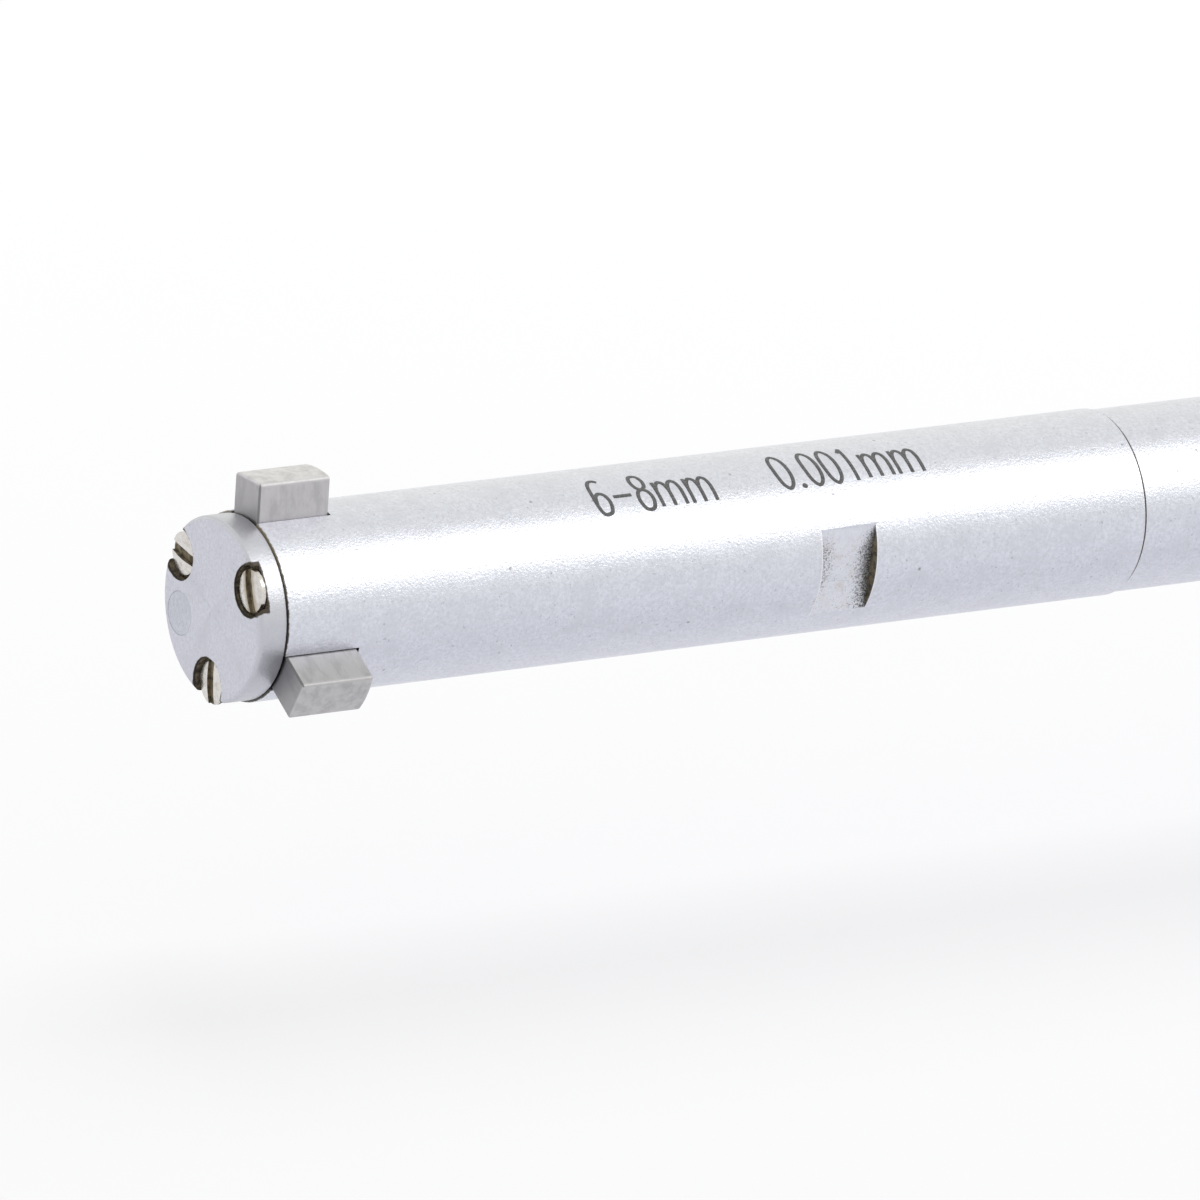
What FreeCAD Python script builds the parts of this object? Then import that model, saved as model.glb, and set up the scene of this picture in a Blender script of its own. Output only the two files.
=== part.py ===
import FreeCAD, Part
import math
import os
import Sketcher

# Three-point inside micrometer for bores from 6 to 8 mm, reading to 0.001 mm.
# The origin is the middle of the front face of the head, +X runs back along the axis to the
# handle, and the first measuring anvil points straight up along +Z. Lengths are millimetres.
# The thimble turns the spindle, which pushes a ball, a rod and a cone towards the tip, and
# the cone spreads three anvils. Springs bring the rod and the anvils back.

SIZES = [
    ("reading", 7.73, "bore that the anvils stand at"),
    ("reading_smallest", 6.0, "smallest bore"),
    ("reading_largest", 8.0, "largest bore"),
    ("cone_slope", 0.5, "radius that the cone gains for each mm of its length"),
    ("edge_break", 0.05, "small bevel on turned edges"),
    ("running_play", 0.02, "gap on each side of a close sliding fit"),
    ("seat_play", 0.01, "gap on each side of pieces that are pushed or screwed together"),
    ("cap_diameter", 5.36, "end cap"),
    ("cap_thickness", 0.9, "end cap"),
    ("cap_relief_diameter", 0.9, "hollow behind the cap for the cone's nose"),
    ("cap_relief_depth", 0.25, "hollow behind the cap for the cone's nose"),
    ("plug_diameter", 1.26, "flush plug in the cap"),
    ("plug_depth", 0.5, "flush plug in the cap"),
    ("plug_offset", 1.81, "from the axis to the plug"),
    ("plug_turn", -109.4, "place of the plug round the axis"),
    ("screw_offset", 2.2, "from the axis to each cap screw"),
    ("screw_turn", 60.0, "place of the first cap screw round the axis"),
    ("screw_thread_diameter", 0.8, "cap screw"),
    ("screw_length", 3.6, "cap screw under its head"),
    ("screw_head_diameter", 1.2, "cap screw"),
    ("screw_head_height", 0.21, "edge of the head of a cap screw"),
    ("screw_dome_height", 0.05, "dome of the head of a cap screw"),
    ("screw_slot_width", 0.22, "slot of a cap screw"),
    ("screw_slot_depth", 0.15, "slot of a cap screw, from the top of its dome"),
    ("slot_turn_1", 161.5, "slot of the first cap screw as tightened, from upright"),
    ("slot_turn_2", 174.0, "slot of the second cap screw as tightened, from upright"),
    ("slot_turn_3", 100.0, "slot of the third cap screw as tightened, from upright"),
    ("counterbore_diameter", 1.5, "recess for a screw head"),
    ("counterbore_depth", 0.28, "recess for a screw head"),
    ("head_diameter", 5.5, "measuring head"),
    ("head_length", 29.22, "measuring head behind its cap"),
    ("anvil_width", 1.34, "measuring anvil"),
    ("anvil_length", 2.35, "measuring anvil along the axis"),
    ("anvil_end_play", 0.05, "gap in front of and behind an anvil"),
    ("anvil_crown_radius", 2.88, "crown of the measuring face"),
    ("anvil_edge", 0.06, "bevel on the rear edges of an anvil"),
    ("anvil_seat_length", 0.45, "sloped foot that rides on the cone"),
    ("cone_play", 0.03, "gap between the foot of an anvil and the cone"),
    ("cone_tip_diameter", 0.3, "front of the cone"),
    ("cone_guide_diameter", 2.8, "round guide behind the cone"),
    ("cone_length", 7.9, "cone with its guide"),
    ("cone_bore_depth", 11.6, "bore of the head that guides the cone"),
    ("cone_socket_diameter", 1.2, "hole in the rear of the cone for the rod"),
    ("cone_socket_depth", 3.0, "hole in the rear of the cone for the rod"),
    ("cone_relief_length", 0.96, "oil groove round the guide of the cone"),
    ("flat_from_tip", 18.9, "front edge of the spanner flats"),
    ("flat_length", 1.87, "spanner flats"),
    ("across_flats", 4.82, "spanner flats"),
    ("flat_turn", 96.2, "place of the first spanner flat round the axis"),
    ("wire_diameter", 0.16, "return spring of an anvil"),
    ("wire_hook_length", 0.25, "end of the return spring inside its anvil"),
    ("wire_run_length", 7.6, "return spring behind its anvil"),
    ("wire_tail_length", 0.45, "end of the return spring in the head"),
    ("wire_tail_radius", 1.64, "from the axis to the rear end of the return spring"),
    ("wire_height", 1.12, "from the foot of an anvil to its return spring"),
    ("wire_groove_width", 0.24, "groove for a return spring"),
    ("wire_groove_play", 0.04, "gap over a return spring at the largest reading"),
    ("rod_diameter", 1.9, "push rod"),
    ("rod_play", 0.05, "gap round the push rod in its guides"),
    ("socket_depth", 6.3, "rear socket of the head for the tube"),
    ("spigot_diameter", 4.4, "front spigot of the tube"),
    ("spigot_length", 6.2, "front spigot of the tube"),
    ("tube_diameter", 5.38, "extension tube"),
    ("tube_length", 36.0, "extension tube behind the head"),
    ("tube_bore_diameter", 3.5, "extension tube"),
    ("bush_length", 5.0, "guide bush in the tube"),
    ("bush_inset", 4.0, "from the rear end of the tube to the guide bush"),
    ("collar_diameter", 3.2, "spring collar on the rod"),
    ("collar_length", 2.5, "spring collar on the rod"),
    ("collar_from_cone", 27.0, "from the rear of the cone to the spring collar"),
    ("collar_pin_diameter", 0.6, "cross pin of the spring collar"),
    ("rod_spring_wire", 0.3, "wire of the rod spring"),
    ("rod_spring_diameter", 2.7, "rod spring, middle of its wire"),
    ("rod_spring_turns", 9.0, "rod spring"),
    ("tube_grip", 8.0, "tube inside the barrel"),
    ("ring_length", 2.5, "clamp ring round the tube"),
    ("ring_diameter", 8.4, "clamp ring round the tube"),
    ("ring_across_flats", 7.4, "clamp ring round the tube"),
    ("nose_diameter", 9.4, "front of the barrel"),
    ("nose_length", 8.0, "tapered front of the barrel"),
    ("flange_length", 8.0, "full round behind the taper of the barrel"),
    ("flange_rise", 0.25, "from the scale sleeve up to the full round of the barrel"),
    ("sleeve_diameter", 17.0, "scale sleeve"),
    ("sleeve_wall", 0.5, "scale sleeve"),
    ("sleeve_length", 30.0, "scale sleeve"),
    ("spanner_hole_diameter", 1.6, "hole in the scale sleeve for a hook spanner"),
    ("spanner_hole_inset", 3.5, "from the front of the scale sleeve to the spanner hole"),
    ("barrel_thread_length", 12.0, "rear of the barrel, under the adjusting nut"),
    ("chamber_diameter", 8.4, "chamber of the barrel in front of its thread"),
    ("chamber_length", 22.0, "chamber of the barrel in front of its thread"),
    ("nut_drop", 0.4, "from the seat of the scale sleeve down to the adjusting nut"),
    ("nut_wall", 1.59, "adjusting nut round the rear thread of the barrel"),
    ("nut_length", 7.0, "adjusting nut"),
    ("nut_inset", 0.5, "from the shoulder of the barrel to the adjusting nut"),
    ("nut_slot_width", 1.2, "spanner slots of the adjusting nut"),
    ("nut_slot_depth", 1.0, "spanner slots of the adjusting nut"),
    ("barrel_slit_width", 0.6, "slit that lets the adjusting nut squeeze the barrel"),
    ("barrel_slit_length", 10.0, "slit that lets the adjusting nut squeeze the barrel"),
    ("cup_gap", 3.9, "from the rear of the tube to the thrust cup"),
    ("cup_diameter", 4.4, "thrust cup on the rod"),
    ("cup_grip", 3.0, "thrust cup over the rod"),
    ("cup_web", 1.0, "thrust cup behind the rod"),
    ("cup_mouth_diameter", 1.6, "seat of the ball in the thrust cup"),
    ("ball_diameter", 2.0, "thrust ball"),
    ("spindle_diameter", 6.9, "spindle over its thread"),
    ("thread_play", 0.05, "gap round the spindle thread"),
    ("spindle_nose_diameter", 4.0, "front of the spindle"),
    ("spindle_nose_length", 5.0, "front of the spindle"),
    ("spindle_past_barrel", 2.54, "spindle thread that stands out behind the barrel"),
    ("spindle_taper_length", 9.0, "taper that carries the thimble"),
    ("spindle_taper_end", 6.0, "small end of the taper"),
    ("spindle_tail_diameter", 4.0, "threaded tail of the spindle"),
    ("spindle_tail_length", 6.4, "threaded tail of the spindle"),
    ("thimble_from_spindle", 8.6, "from the front of the spindle to the edge of the thimble"),
    ("thimble_sleeve_play", 0.12, "gap between the thimble and the scale sleeve"),
    ("thimble_wall", 1.03, "wall of the thimble at its plain bands"),
    ("thimble_edge_wall", 0.23, "wall of the thimble at its front edge"),
    ("thimble_bevel_length", 4.2, "graduated bevel of the thimble"),
    ("thimble_front_band", 1.5, "plain band between the bevel and the grip"),
    ("thimble_rear_band", 2.7, "plain band behind the grip"),
    ("thimble_hub_inset", 0.3, "from the front of the taper to the hub of the thimble"),
    ("thimble_rear_bevel", 2.4, "rear bevel of the thimble"),
    ("thimble_rear_fall", 2.35, "from the plain bands down to the rear face of the thimble"),
    ("thimble_rear_lip", 0.5, "thimble behind the taper of the spindle"),
    ("grip_rise", 0.35, "from the plain bands up to the lands of the grip"),
    ("grip_groove_width", 0.8, "grooves at the ends of the grip"),
    ("grip_groove_depth", 0.15, "grooves at the ends of the grip, under the plain bands"),
    ("flute_count", 16.0, "straight flutes of the grip"),
    ("flute_radius", 2.6, "cutter that mills a flute"),
    ("flute_depth", 0.45, "flute under the lands of the grip"),
    ("base_flange_diameter", 10.0, "flange of the ratchet base"),
    ("base_flange_length", 1.5, "flange of the ratchet base"),
    ("base_core_diameter", 6.0, "core of the ratchet base"),
    ("base_core_length", 9.5, "core of the ratchet base"),
    ("base_across_flats", 4.8, "flats that key the click ring"),
    ("ratchet_spring_wire", 0.4, "ratchet spring"),
    ("ratchet_spring_diameter", 7.4, "ratchet spring, middle of its wire"),
    ("ratchet_spring_length", 4.0, "ratchet spring"),
    ("ratchet_spring_turns", 3.5, "ratchet spring"),
    ("click_ring_diameter", 9.6, "click ring"),
    ("click_ring_length", 2.0, "click ring without its teeth"),
    ("click_tooth_height", 0.4, "face teeth of the click ring and the knob"),
    ("click_tooth_play", 0.05, "gap between the two rows of teeth"),
    ("click_tooth_count", 12.0, "face teeth"),
    ("click_step", 0.5, "distance that the click ring gives way"),
    ("knob_diameter", 13.0, "ratchet knob"),
    ("knob_front_gap", 0.3, "from the thimble to the ratchet knob"),
    ("knob_wall", 1.35, "wall of the ratchet knob round its spring"),
    ("knob_rear_length", 3.6, "ratchet knob behind its web"),
    ("knob_recess_diameter", 7.4, "rear recess of the ratchet knob"),
    ("knob_bevel", 0.6, "edges of the ratchet knob"),
    ("washer_diameter", 6.8, "washer of the ratchet screw"),
    ("washer_thickness", 0.4, "washer of the ratchet screw"),
    ("ratchet_screw_diameter", 2.0, "ratchet screw"),
    ("ratchet_screw_length", 3.4, "ratchet screw under its head"),
    ("ratchet_head_diameter", 4.6, "head of the ratchet screw"),
    ("ratchet_head_height", 1.3, "head of the ratchet screw"),
    ("ratchet_slot_width", 0.6, "slot of the ratchet screw"),
    ("ratchet_slot_depth", 0.6, "slot of the ratchet screw"),
]


class Size:
    """A size with its value and the sheet expression that gives it."""

    def __init__(self, value, text):
        self.value = value
        self.text = text

    def __add__(self, other):
        other = as_size(other)
        return Size(self.value + other.value, f"({self.text} + {other.text})")

    def __sub__(self, other):
        other = as_size(other)
        return Size(self.value - other.value, f"({self.text} - {other.text})")

    def __mul__(self, other):
        other = as_size(other)
        return Size(self.value * other.value, f"({self.text} * {other.text})")

    def __truediv__(self, other):
        other = as_size(other)
        return Size(self.value / other.value, f"({self.text} / {other.text})")

    def __neg__(self):
        return Size(-self.value, f"(-1 * {self.text})")


def as_size(number):
    """Wrap a plain number so that it can stand beside a size."""
    if isinstance(number, Size):
        return number
    return Size(float(number), f"{float(number)}")


def sine(turn):
    """Sine of an angle that is a size in degrees."""
    return Size(math.sin(math.radians(turn.value)), f"sin({turn.text} * 1 deg)")


def cosine(turn):
    """Cosine of an angle that is a size in degrees."""
    return Size(math.cos(math.radians(turn.value)), f"cos({turn.text} * 1 deg)")


class Names:
    """Every size of the sheet under its own name."""


doc = FreeCAD.newDocument("inside_micrometer")
sheet = doc.addObject("Spreadsheet::Sheet", "Sizes")
size = Names()
for row, (alias, value, note) in enumerate(SIZES, start=1):
    sheet.set(f"A{row}", note)
    sheet.set(f"B{row}", str(value))
    sheet.setAlias(f"B{row}", alias)
    setattr(size, alias, Size(value, f"Sizes.{alias}"))
doc.recompute()

NODES = []
ZERO = as_size(0.0)
WIRE_SIDES = 6


class Round:
    """Stands between two points of an outline whose edge is an arc instead of a line."""

    def __init__(self, radius, left=True):
        self.radius = radius
        self.left = left


def new_body(label, keep=True):
    """Start one piece, and keep it as a node unless it is only part of one."""
    body = doc.addObject("PartDesign::Body", label)
    body.Label = label
    if keep:
        NODES.append(body)
    return body


def origin_part(body, role):
    """Find a plane or an axis of a body's own origin."""
    return [item for item in body.Origin.OriginFeatures if item.Role == role][0]


def new_sketch(body, role, name, lift=None):
    """Start a sketch on a plane of the body, lifted along the plane's normal where asked."""
    sketch = body.newObject("Sketcher::SketchObject", f"{body.Label}_{name}")
    sketch.AttachmentSupport = [(origin_part(body, role), "")]
    sketch.MapMode = "FlatFace"
    if lift is not None:
        sketch.AttachmentOffset = FreeCAD.Placement(FreeCAD.Vector(0, 0, lift.value), FreeCAD.Rotation())
        sketch.setExpression("AttachmentOffset.Base.z", lift.text)
    return sketch


def pin_point(sketch, edge, end, across, up, name):
    """Fix one point of a sketch at sizes from the sketch's origin."""
    for kind, where, axis in (("DistanceX", across, "across"), ("DistanceY", up, "up")):
        sketch.addConstraint(Sketcher.Constraint(kind, -1, 1, edge, end, where.value))
        number = sketch.ConstraintCount - 1
        sketch.renameConstraint(number, f"{name}_{axis}")
        sketch.setExpression(f"Constraints.{name}_{axis}", where.text)


def arc_between(start, end, radius, left):
    """Centre of the arc between two points, and whether it runs counter-clockwise."""
    middle = (start + end) * 0.5
    along = end - start
    reach = math.sqrt(max(radius ** 2 - (along.Length / 2) ** 2, 0.0))
    side = FreeCAD.Vector(-along.y, along.x, 0).normalize()
    return middle + side * (reach if left else -reach), left


def outline(sketch, items):
    """Draw a closed outline through points, with every point bound to the sheet."""
    corners = [item for item in items if not isinstance(item, Round)]
    bends = {}
    for place, item in enumerate(items):
        if isinstance(item, Round):
            bends[len([one for one in items[:place] if not isinstance(one, Round)]) - 1] = item
    spots = [FreeCAD.Vector(a.value, b.value, 0) for a, b in corners]
    ends = []
    for number, start in enumerate(spots):
        end = spots[(number + 1) % len(spots)]
        if number in bends:
            bend = bends[number]
            centre, forward = arc_between(start, end, bend.radius.value, bend.left)
            first, last = (start, end) if forward else (end, start)
            angles = [math.atan2(spot.y - centre.y, spot.x - centre.x) for spot in (first, last)]
            ring = Part.Circle(centre, FreeCAD.Vector(0, 0, 1), bend.radius.value)
            edge = sketch.addGeometry(Part.ArcOfCircle(ring, angles[0], angles[1]))
            ends.append((edge, 1, 2) if forward else (edge, 2, 1))
            sketch.addConstraint(Sketcher.Constraint("Radius", edge, bend.radius.value))
            sketch.renameConstraint(sketch.ConstraintCount - 1, f"round_{number}")
            sketch.setExpression(f"Constraints.round_{number}", bend.radius.text)
        else:
            edge = sketch.addGeometry(Part.LineSegment(start, end))
            ends.append((edge, 1, 2))
    for number, (edge, start, end) in enumerate(ends):
        following = ends[(number + 1) % len(ends)]
        sketch.addConstraint(Sketcher.Constraint("Coincident", edge, end, following[0], following[1]))
        across, up = corners[number]
        pin_point(sketch, edge, start, across, up, f"point_{number}")


def ring_in(sketch, across, up, radius, name):
    """Draw one circle in a sketch."""
    middle = FreeCAD.Vector(across.value, up.value, 0)
    edge = sketch.addGeometry(Part.Circle(middle, FreeCAD.Vector(0, 0, 1), radius.value))
    sketch.addConstraint(Sketcher.Constraint("Radius", edge, radius.value))
    sketch.renameConstraint(sketch.ConstraintCount - 1, f"{name}_radius")
    sketch.setExpression(f"Constraints.{name}_radius", radius.text)
    pin_point(sketch, edge, 3, across, up, name)


def turn_outline(body, items, name="outline"):
    """Revolve half an outline, given as length along the axis and radius, round the X axis."""
    sketch = new_sketch(body, "XY_Plane", name)
    outline(sketch, items)
    solid = body.newObject("PartDesign::Revolution", f"{body.Label}_{name}_turned")
    solid.Profile = sketch
    solid.ReferenceAxis = (sketch, ["H_Axis"])
    solid.Angle = 360
    doc.recompute()
    body.Tip = solid
    return solid


def turned(label, items, keep=True):
    """Make a whole piece on the lathe from half its outline."""
    body = new_body(label, keep)
    turn_outline(body, items)
    return body


def step_bored(front, rear, outer, bore, edge):
    """Half outline of a plain ring or tube with bevelled outer edges."""
    return [
        (front, bore),
        (front, outer - edge),
        (front + edge, outer),
        (rear - edge, outer),
        (rear, outer - edge),
        (rear, bore),
    ]


def cut(body, sketch, depth, name, backwards=False, midplane=False):
    """Cut a pocket of a given depth into a body, and make sure that it cuts."""
    before = body.Shape.Volume
    pocket = body.newObject("PartDesign::Pocket", f"{body.Label}_{name}")
    pocket.Profile = sketch
    pocket.Length = depth.value
    pocket.setExpression("Length", depth.text)
    if midplane:
        pocket.SideType = "Symmetric"
    pocket.Reversed = backwards
    doc.recompute()
    body.Tip = pocket
    if body.Shape.Volume >= before:
        raise ValueError(f"{pocket.Name} cuts nothing")
    return pocket


def repeat_round(body, feature, count, name):
    """Repeat a feature evenly round the X axis."""
    pattern = body.newObject("PartDesign::PolarPattern", f"{body.Label}_{name}")
    pattern.Originals = [feature]
    pattern.Axis = (origin_part(body, "X_Axis"), [""])
    pattern.Angle = 360
    pattern.Occurrences = count
    doc.recompute()
    body.Tip = pattern
    return pattern


def box_outline(low, high, left, right):
    """Rectangle in a sketch, from left to right and from low to high."""
    return [(left, low), (right, low), (right, high), (left, high)]


def turn_body(body, turn):
    """Turn a finished piece round the X axis, from +Z towards -Y for a growing turn."""
    body.Placement = FreeCAD.Placement(FreeCAD.Vector(), FreeCAD.Vector(1, 0, 0), turn.value)
    body.setExpression("Placement.Rotation.Angle", turn.text)


def group(label, pieces):
    """Keep several like pieces as the separate solids of one node."""
    compound = doc.addObject("Part::Compound", label)
    compound.Label = label
    compound.Links = pieces
    NODES.append(compound)
    return compound


# Places along the axis that several pieces share
travel_out = (size.reading - size.reading_smallest) / 2
advance = travel_out / size.cone_slope
head_front = size.cap_thickness
head_rear = head_front + size.head_length
anvil_front = head_front + size.anvil_end_play
anvil_rear = anvil_front + size.anvil_length
slot_rear = anvil_rear + size.anvil_end_play
cone_tip = anvil_rear - size.anvil_seat_length - advance
cone_rear = cone_tip + size.cone_length
cone_bore_rear = head_front + size.cone_bore_depth
socket_floor = head_rear - size.socket_depth
tube_rear = head_rear + size.tube_length
barrel_front = tube_rear - size.tube_grip
nose_rear = barrel_front + size.nose_length
flange_rear = nose_rear + size.flange_length
sleeve_rear = flange_rear + size.sleeve_length
barrel_rear = sleeve_rear + size.barrel_thread_length
rod_rear = tube_rear + size.cup_gap + size.cup_grip
cup_rear = rod_rear + size.cup_web
HALF_ROOT_TWO = math.sqrt(0.5)
ball_centre = cup_rear - size.cup_mouth_diameter / 2 + size.ball_diameter * HALF_ROOT_TWO + size.seat_play * 2
spindle_front = ball_centre + size.ball_diameter / 2 + size.seat_play
spindle_thread_front = spindle_front + size.spindle_nose_length
taper_front = barrel_rear + size.spindle_past_barrel
taper_rear = taper_front + size.spindle_taper_length
spindle_rear = taper_rear + size.spindle_tail_length
thimble_front = spindle_front + size.thimble_from_spindle
hub_front = taper_front + size.thimble_hub_inset
thimble_rear = taper_rear + size.thimble_rear_lip
base_front = thimble_rear + size.seat_play
base_flange_rear = base_front + size.base_flange_length
base_rear = base_flange_rear + size.base_core_length
click_front = base_flange_rear + size.ratchet_spring_length + size.seat_play * 2
click_rear = click_front + size.click_ring_length
web_front = click_rear + size.click_tooth_height + size.click_tooth_play
web_rear = base_rear - size.running_play
knob_rear = web_rear + size.knob_rear_length
washer_front = base_rear + size.seat_play
screw_head_front = washer_front + size.washer_thickness + size.seat_play

# Radii that several pieces share
cap_radius = size.cap_diameter / 2
head_radius = size.head_diameter / 2
tube_radius = size.tube_diameter / 2
cone_tip_radius = size.cone_tip_diameter / 2
guide_radius = size.cone_guide_diameter / 2
guide_bore = guide_radius + size.running_play
foot_radius = cone_tip_radius + size.cone_play + travel_out
foot_smallest = cone_tip_radius + size.cone_play
crest_radius = size.reading / 2
rod_radius = size.rod_diameter / 2
rod_bore = rod_radius + size.rod_play
spigot_radius = size.spigot_diameter / 2
sleeve_radius = size.sleeve_diameter / 2
sleeve_seat_radius = sleeve_radius - size.sleeve_wall
nut_radius = sleeve_seat_radius - size.nut_drop
nut_bore = nut_radius - size.nut_wall
spindle_radius = size.spindle_diameter / 2
wire_radius = size.wire_diameter / 2
wire_level = foot_radius + size.anvil_seat_length * size.cone_slope + size.wire_height
wire_level_largest = wire_level + (size.reading_largest - size.reading) / 2
bevel = size.edge_break * 4
broad_bevel = size.edge_break * 8


def make_end_cap():
    """Disc that closes the front of the head and the slots of the anvils."""
    body = turned("end_cap", [
        (ZERO, ZERO),
        (ZERO, cap_radius - size.edge_break),
        (size.edge_break, cap_radius),
        (head_front - size.edge_break, cap_radius),
        (head_front, cap_radius - size.edge_break),
        (head_front, size.cap_relief_diameter / 2),
        (head_front - size.cap_relief_depth, size.cap_relief_diameter / 2),
        (head_front - size.cap_relief_depth, ZERO),
    ])
    across = -sine(size.screw_turn) * size.screw_offset
    up = cosine(size.screw_turn) * size.screw_offset
    for name, radius, depth in (
            ("screw_hole", size.screw_thread_diameter / 2 + size.running_play, head_front),
            ("counterbore", size.counterbore_diameter / 2, size.counterbore_depth)):
        sketch = new_sketch(body, "YZ_Plane", f"{name}_sketch")
        ring_in(sketch, across, up, radius, "hole")
        hole = cut(body, sketch, depth, name, backwards=True)
        repeat_round(body, hole, 3, f"{name}_pattern")
    sketch = new_sketch(body, "YZ_Plane", "plug_sketch")
    across = -sine(size.plug_turn) * size.plug_offset
    up = cosine(size.plug_turn) * size.plug_offset
    ring_in(sketch, across, up, size.plug_diameter / 2, "hole")
    cut(body, sketch, size.plug_depth, "plug_hole", backwards=True)


def make_cap_plug():
    """Flush plug pushed into a blind hole of the cap."""
    body = turned("cap_plug", [
        (ZERO, ZERO),
        (ZERO, size.plug_diameter / 2 - size.seat_play),
        (size.plug_depth - size.seat_play, size.plug_diameter / 2 - size.seat_play),
        (size.plug_depth - size.seat_play, ZERO),
    ])
    body.setExpression("Placement.Base.y", (-sine(size.plug_turn) * size.plug_offset).text)
    body.setExpression("Placement.Base.z", (cosine(size.plug_turn) * size.plug_offset).text)


def make_cap_screws():
    """Three slotted screws with domed heads, sunk in the rim of the cap."""
    seat = size.counterbore_depth - size.seat_play
    brim = seat - size.screw_head_height
    top = brim - size.screw_dome_height
    head = size.screw_head_diameter / 2
    shank = size.screw_thread_diameter / 2
    end = seat + size.screw_length
    dome = (head * head + size.screw_dome_height * size.screw_dome_height) / (size.screw_dome_height * 2)
    slot_turns = [size.slot_turn_1, size.slot_turn_2, size.slot_turn_3]
    screws = []
    for number, slot_turn in enumerate(slot_turns):
        body = turned(f"cap_screw_{number + 1}", [
            (top, ZERO),
            Round(dome, left=False),
            (brim, head),
            (seat, head),
            (seat, shank),
            (end - shank / 2, shank),
            (end, shank / 2),
            (end, ZERO),
        ], keep=False)
        sketch = new_sketch(body, "XY_Plane", "slot_sketch")
        half = size.screw_slot_width / 2
        outline(sketch, box_outline(-half, half, top - size.edge_break, top + size.screw_slot_depth))
        cut(body, sketch, size.screw_head_diameter * 2, "slot", midplane=True)
        turn = size.screw_turn + 120.0 * number
        turn_body(body, slot_turn)
        body.setExpression("Placement.Base.y", (-sine(turn) * size.screw_offset).text)
        body.setExpression("Placement.Base.z", (cosine(turn) * size.screw_offset).text)
        screws.append(body)
    group("cap_screws", screws)


def make_head_body():
    """Measuring head: three slots, the bore for the cone, spanner flats and a rear socket."""
    body = turned("head_body", [
        (head_front, guide_bore),
        (head_front, head_radius - size.edge_break),
        (head_front + size.edge_break, head_radius),
        (head_rear - size.edge_break, head_radius),
        (head_rear, head_radius - size.edge_break),
        (head_rear, spigot_radius + size.seat_play),
        (socket_floor, spigot_radius + size.seat_play),
        (socket_floor, rod_bore),
        (cone_bore_rear, rod_bore),
        (cone_bore_rear, guide_bore),
    ])
    half = size.anvil_width / 2 + size.running_play
    sketch = new_sketch(body, "XY_Plane", "slot_sketch")
    outline(sketch, box_outline(-half, half, head_front - size.edge_break, slot_rear))
    slot = cut(body, sketch, size.head_diameter, "slot", backwards=True)
    repeat_round(body, slot, 3, "slot_pattern")
    sketch = new_sketch(body, "YZ_Plane", "screw_sketch", head_front)
    across = -sine(size.screw_turn) * size.screw_offset
    up = cosine(size.screw_turn) * size.screw_offset
    ring_in(sketch, across, up, size.screw_thread_diameter / 2 + size.seat_play, "hole")
    depth = size.counterbore_depth + size.screw_length - size.cap_thickness + size.anvil_end_play
    hole = cut(body, sketch, depth, "screw_hole", backwards=True)
    repeat_round(body, hole, 3, "screw_pattern")
    make_spring_grooves(body)
    make_spanner_flats(body)


def make_spring_grooves(body):
    """Three grooves in the bore of the head, each with a hole for the tail of its spring."""
    floor = wire_level_largest + wire_radius + size.wire_groove_play
    tail = size.wire_tail_radius + wire_radius + size.wire_groove_play
    groove_rear = slot_rear + size.wire_run_length + wire_radius * 2
    sketch = new_sketch(body, "XZ_Plane", "groove_sketch")
    outline(sketch, [
        (slot_rear - size.anvil_end_play, ZERO),
        (groove_rear, ZERO),
        (groove_rear, tail),
        (slot_rear - size.anvil_end_play, floor),
    ])
    groove = cut(body, sketch, size.wire_groove_width, "groove", midplane=True)
    repeat_round(body, groove, 3, "groove_pattern")
    sketch = new_sketch(body, "XY_Plane", "tail_sketch", size.wire_tail_radius)
    ring_in(sketch, slot_rear + size.wire_run_length, ZERO, wire_radius + size.seat_play, "hole")
    hole = cut(body, sketch, size.wire_tail_length + wire_radius, "tail_hole", backwards=True)
    repeat_round(body, hole, 3, "tail_pattern")


def make_spanner_flats(body):
    """Two opposite flats milled across the head for a spanner."""
    sketch = new_sketch(body, "XY_Plane", "flat_sketch", size.across_flats / 2)
    wide = size.head_diameter
    flat_rear = size.flat_from_tip + size.flat_length
    outline(sketch, box_outline(-wide, wide, size.flat_from_tip, flat_rear))
    turn = size.flat_turn
    level = size.across_flats / 2
    sketch.AttachmentOffset = FreeCAD.Placement(
        FreeCAD.Vector(0, -math.sin(math.radians(turn.value)) * level.value,
                       math.cos(math.radians(turn.value)) * level.value),
        FreeCAD.Rotation(FreeCAD.Vector(1, 0, 0), turn.value))
    sketch.setExpression("AttachmentOffset.Base.y", (-sine(turn) * level).text)
    sketch.setExpression("AttachmentOffset.Base.z", (cosine(turn) * level).text)
    sketch.setExpression("AttachmentOffset.Rotation.Angle", turn.text)
    flat = cut(body, sketch, size.head_diameter, "flat", backwards=True)
    repeat_round(body, flat, 2, "flat_pattern")


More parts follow.
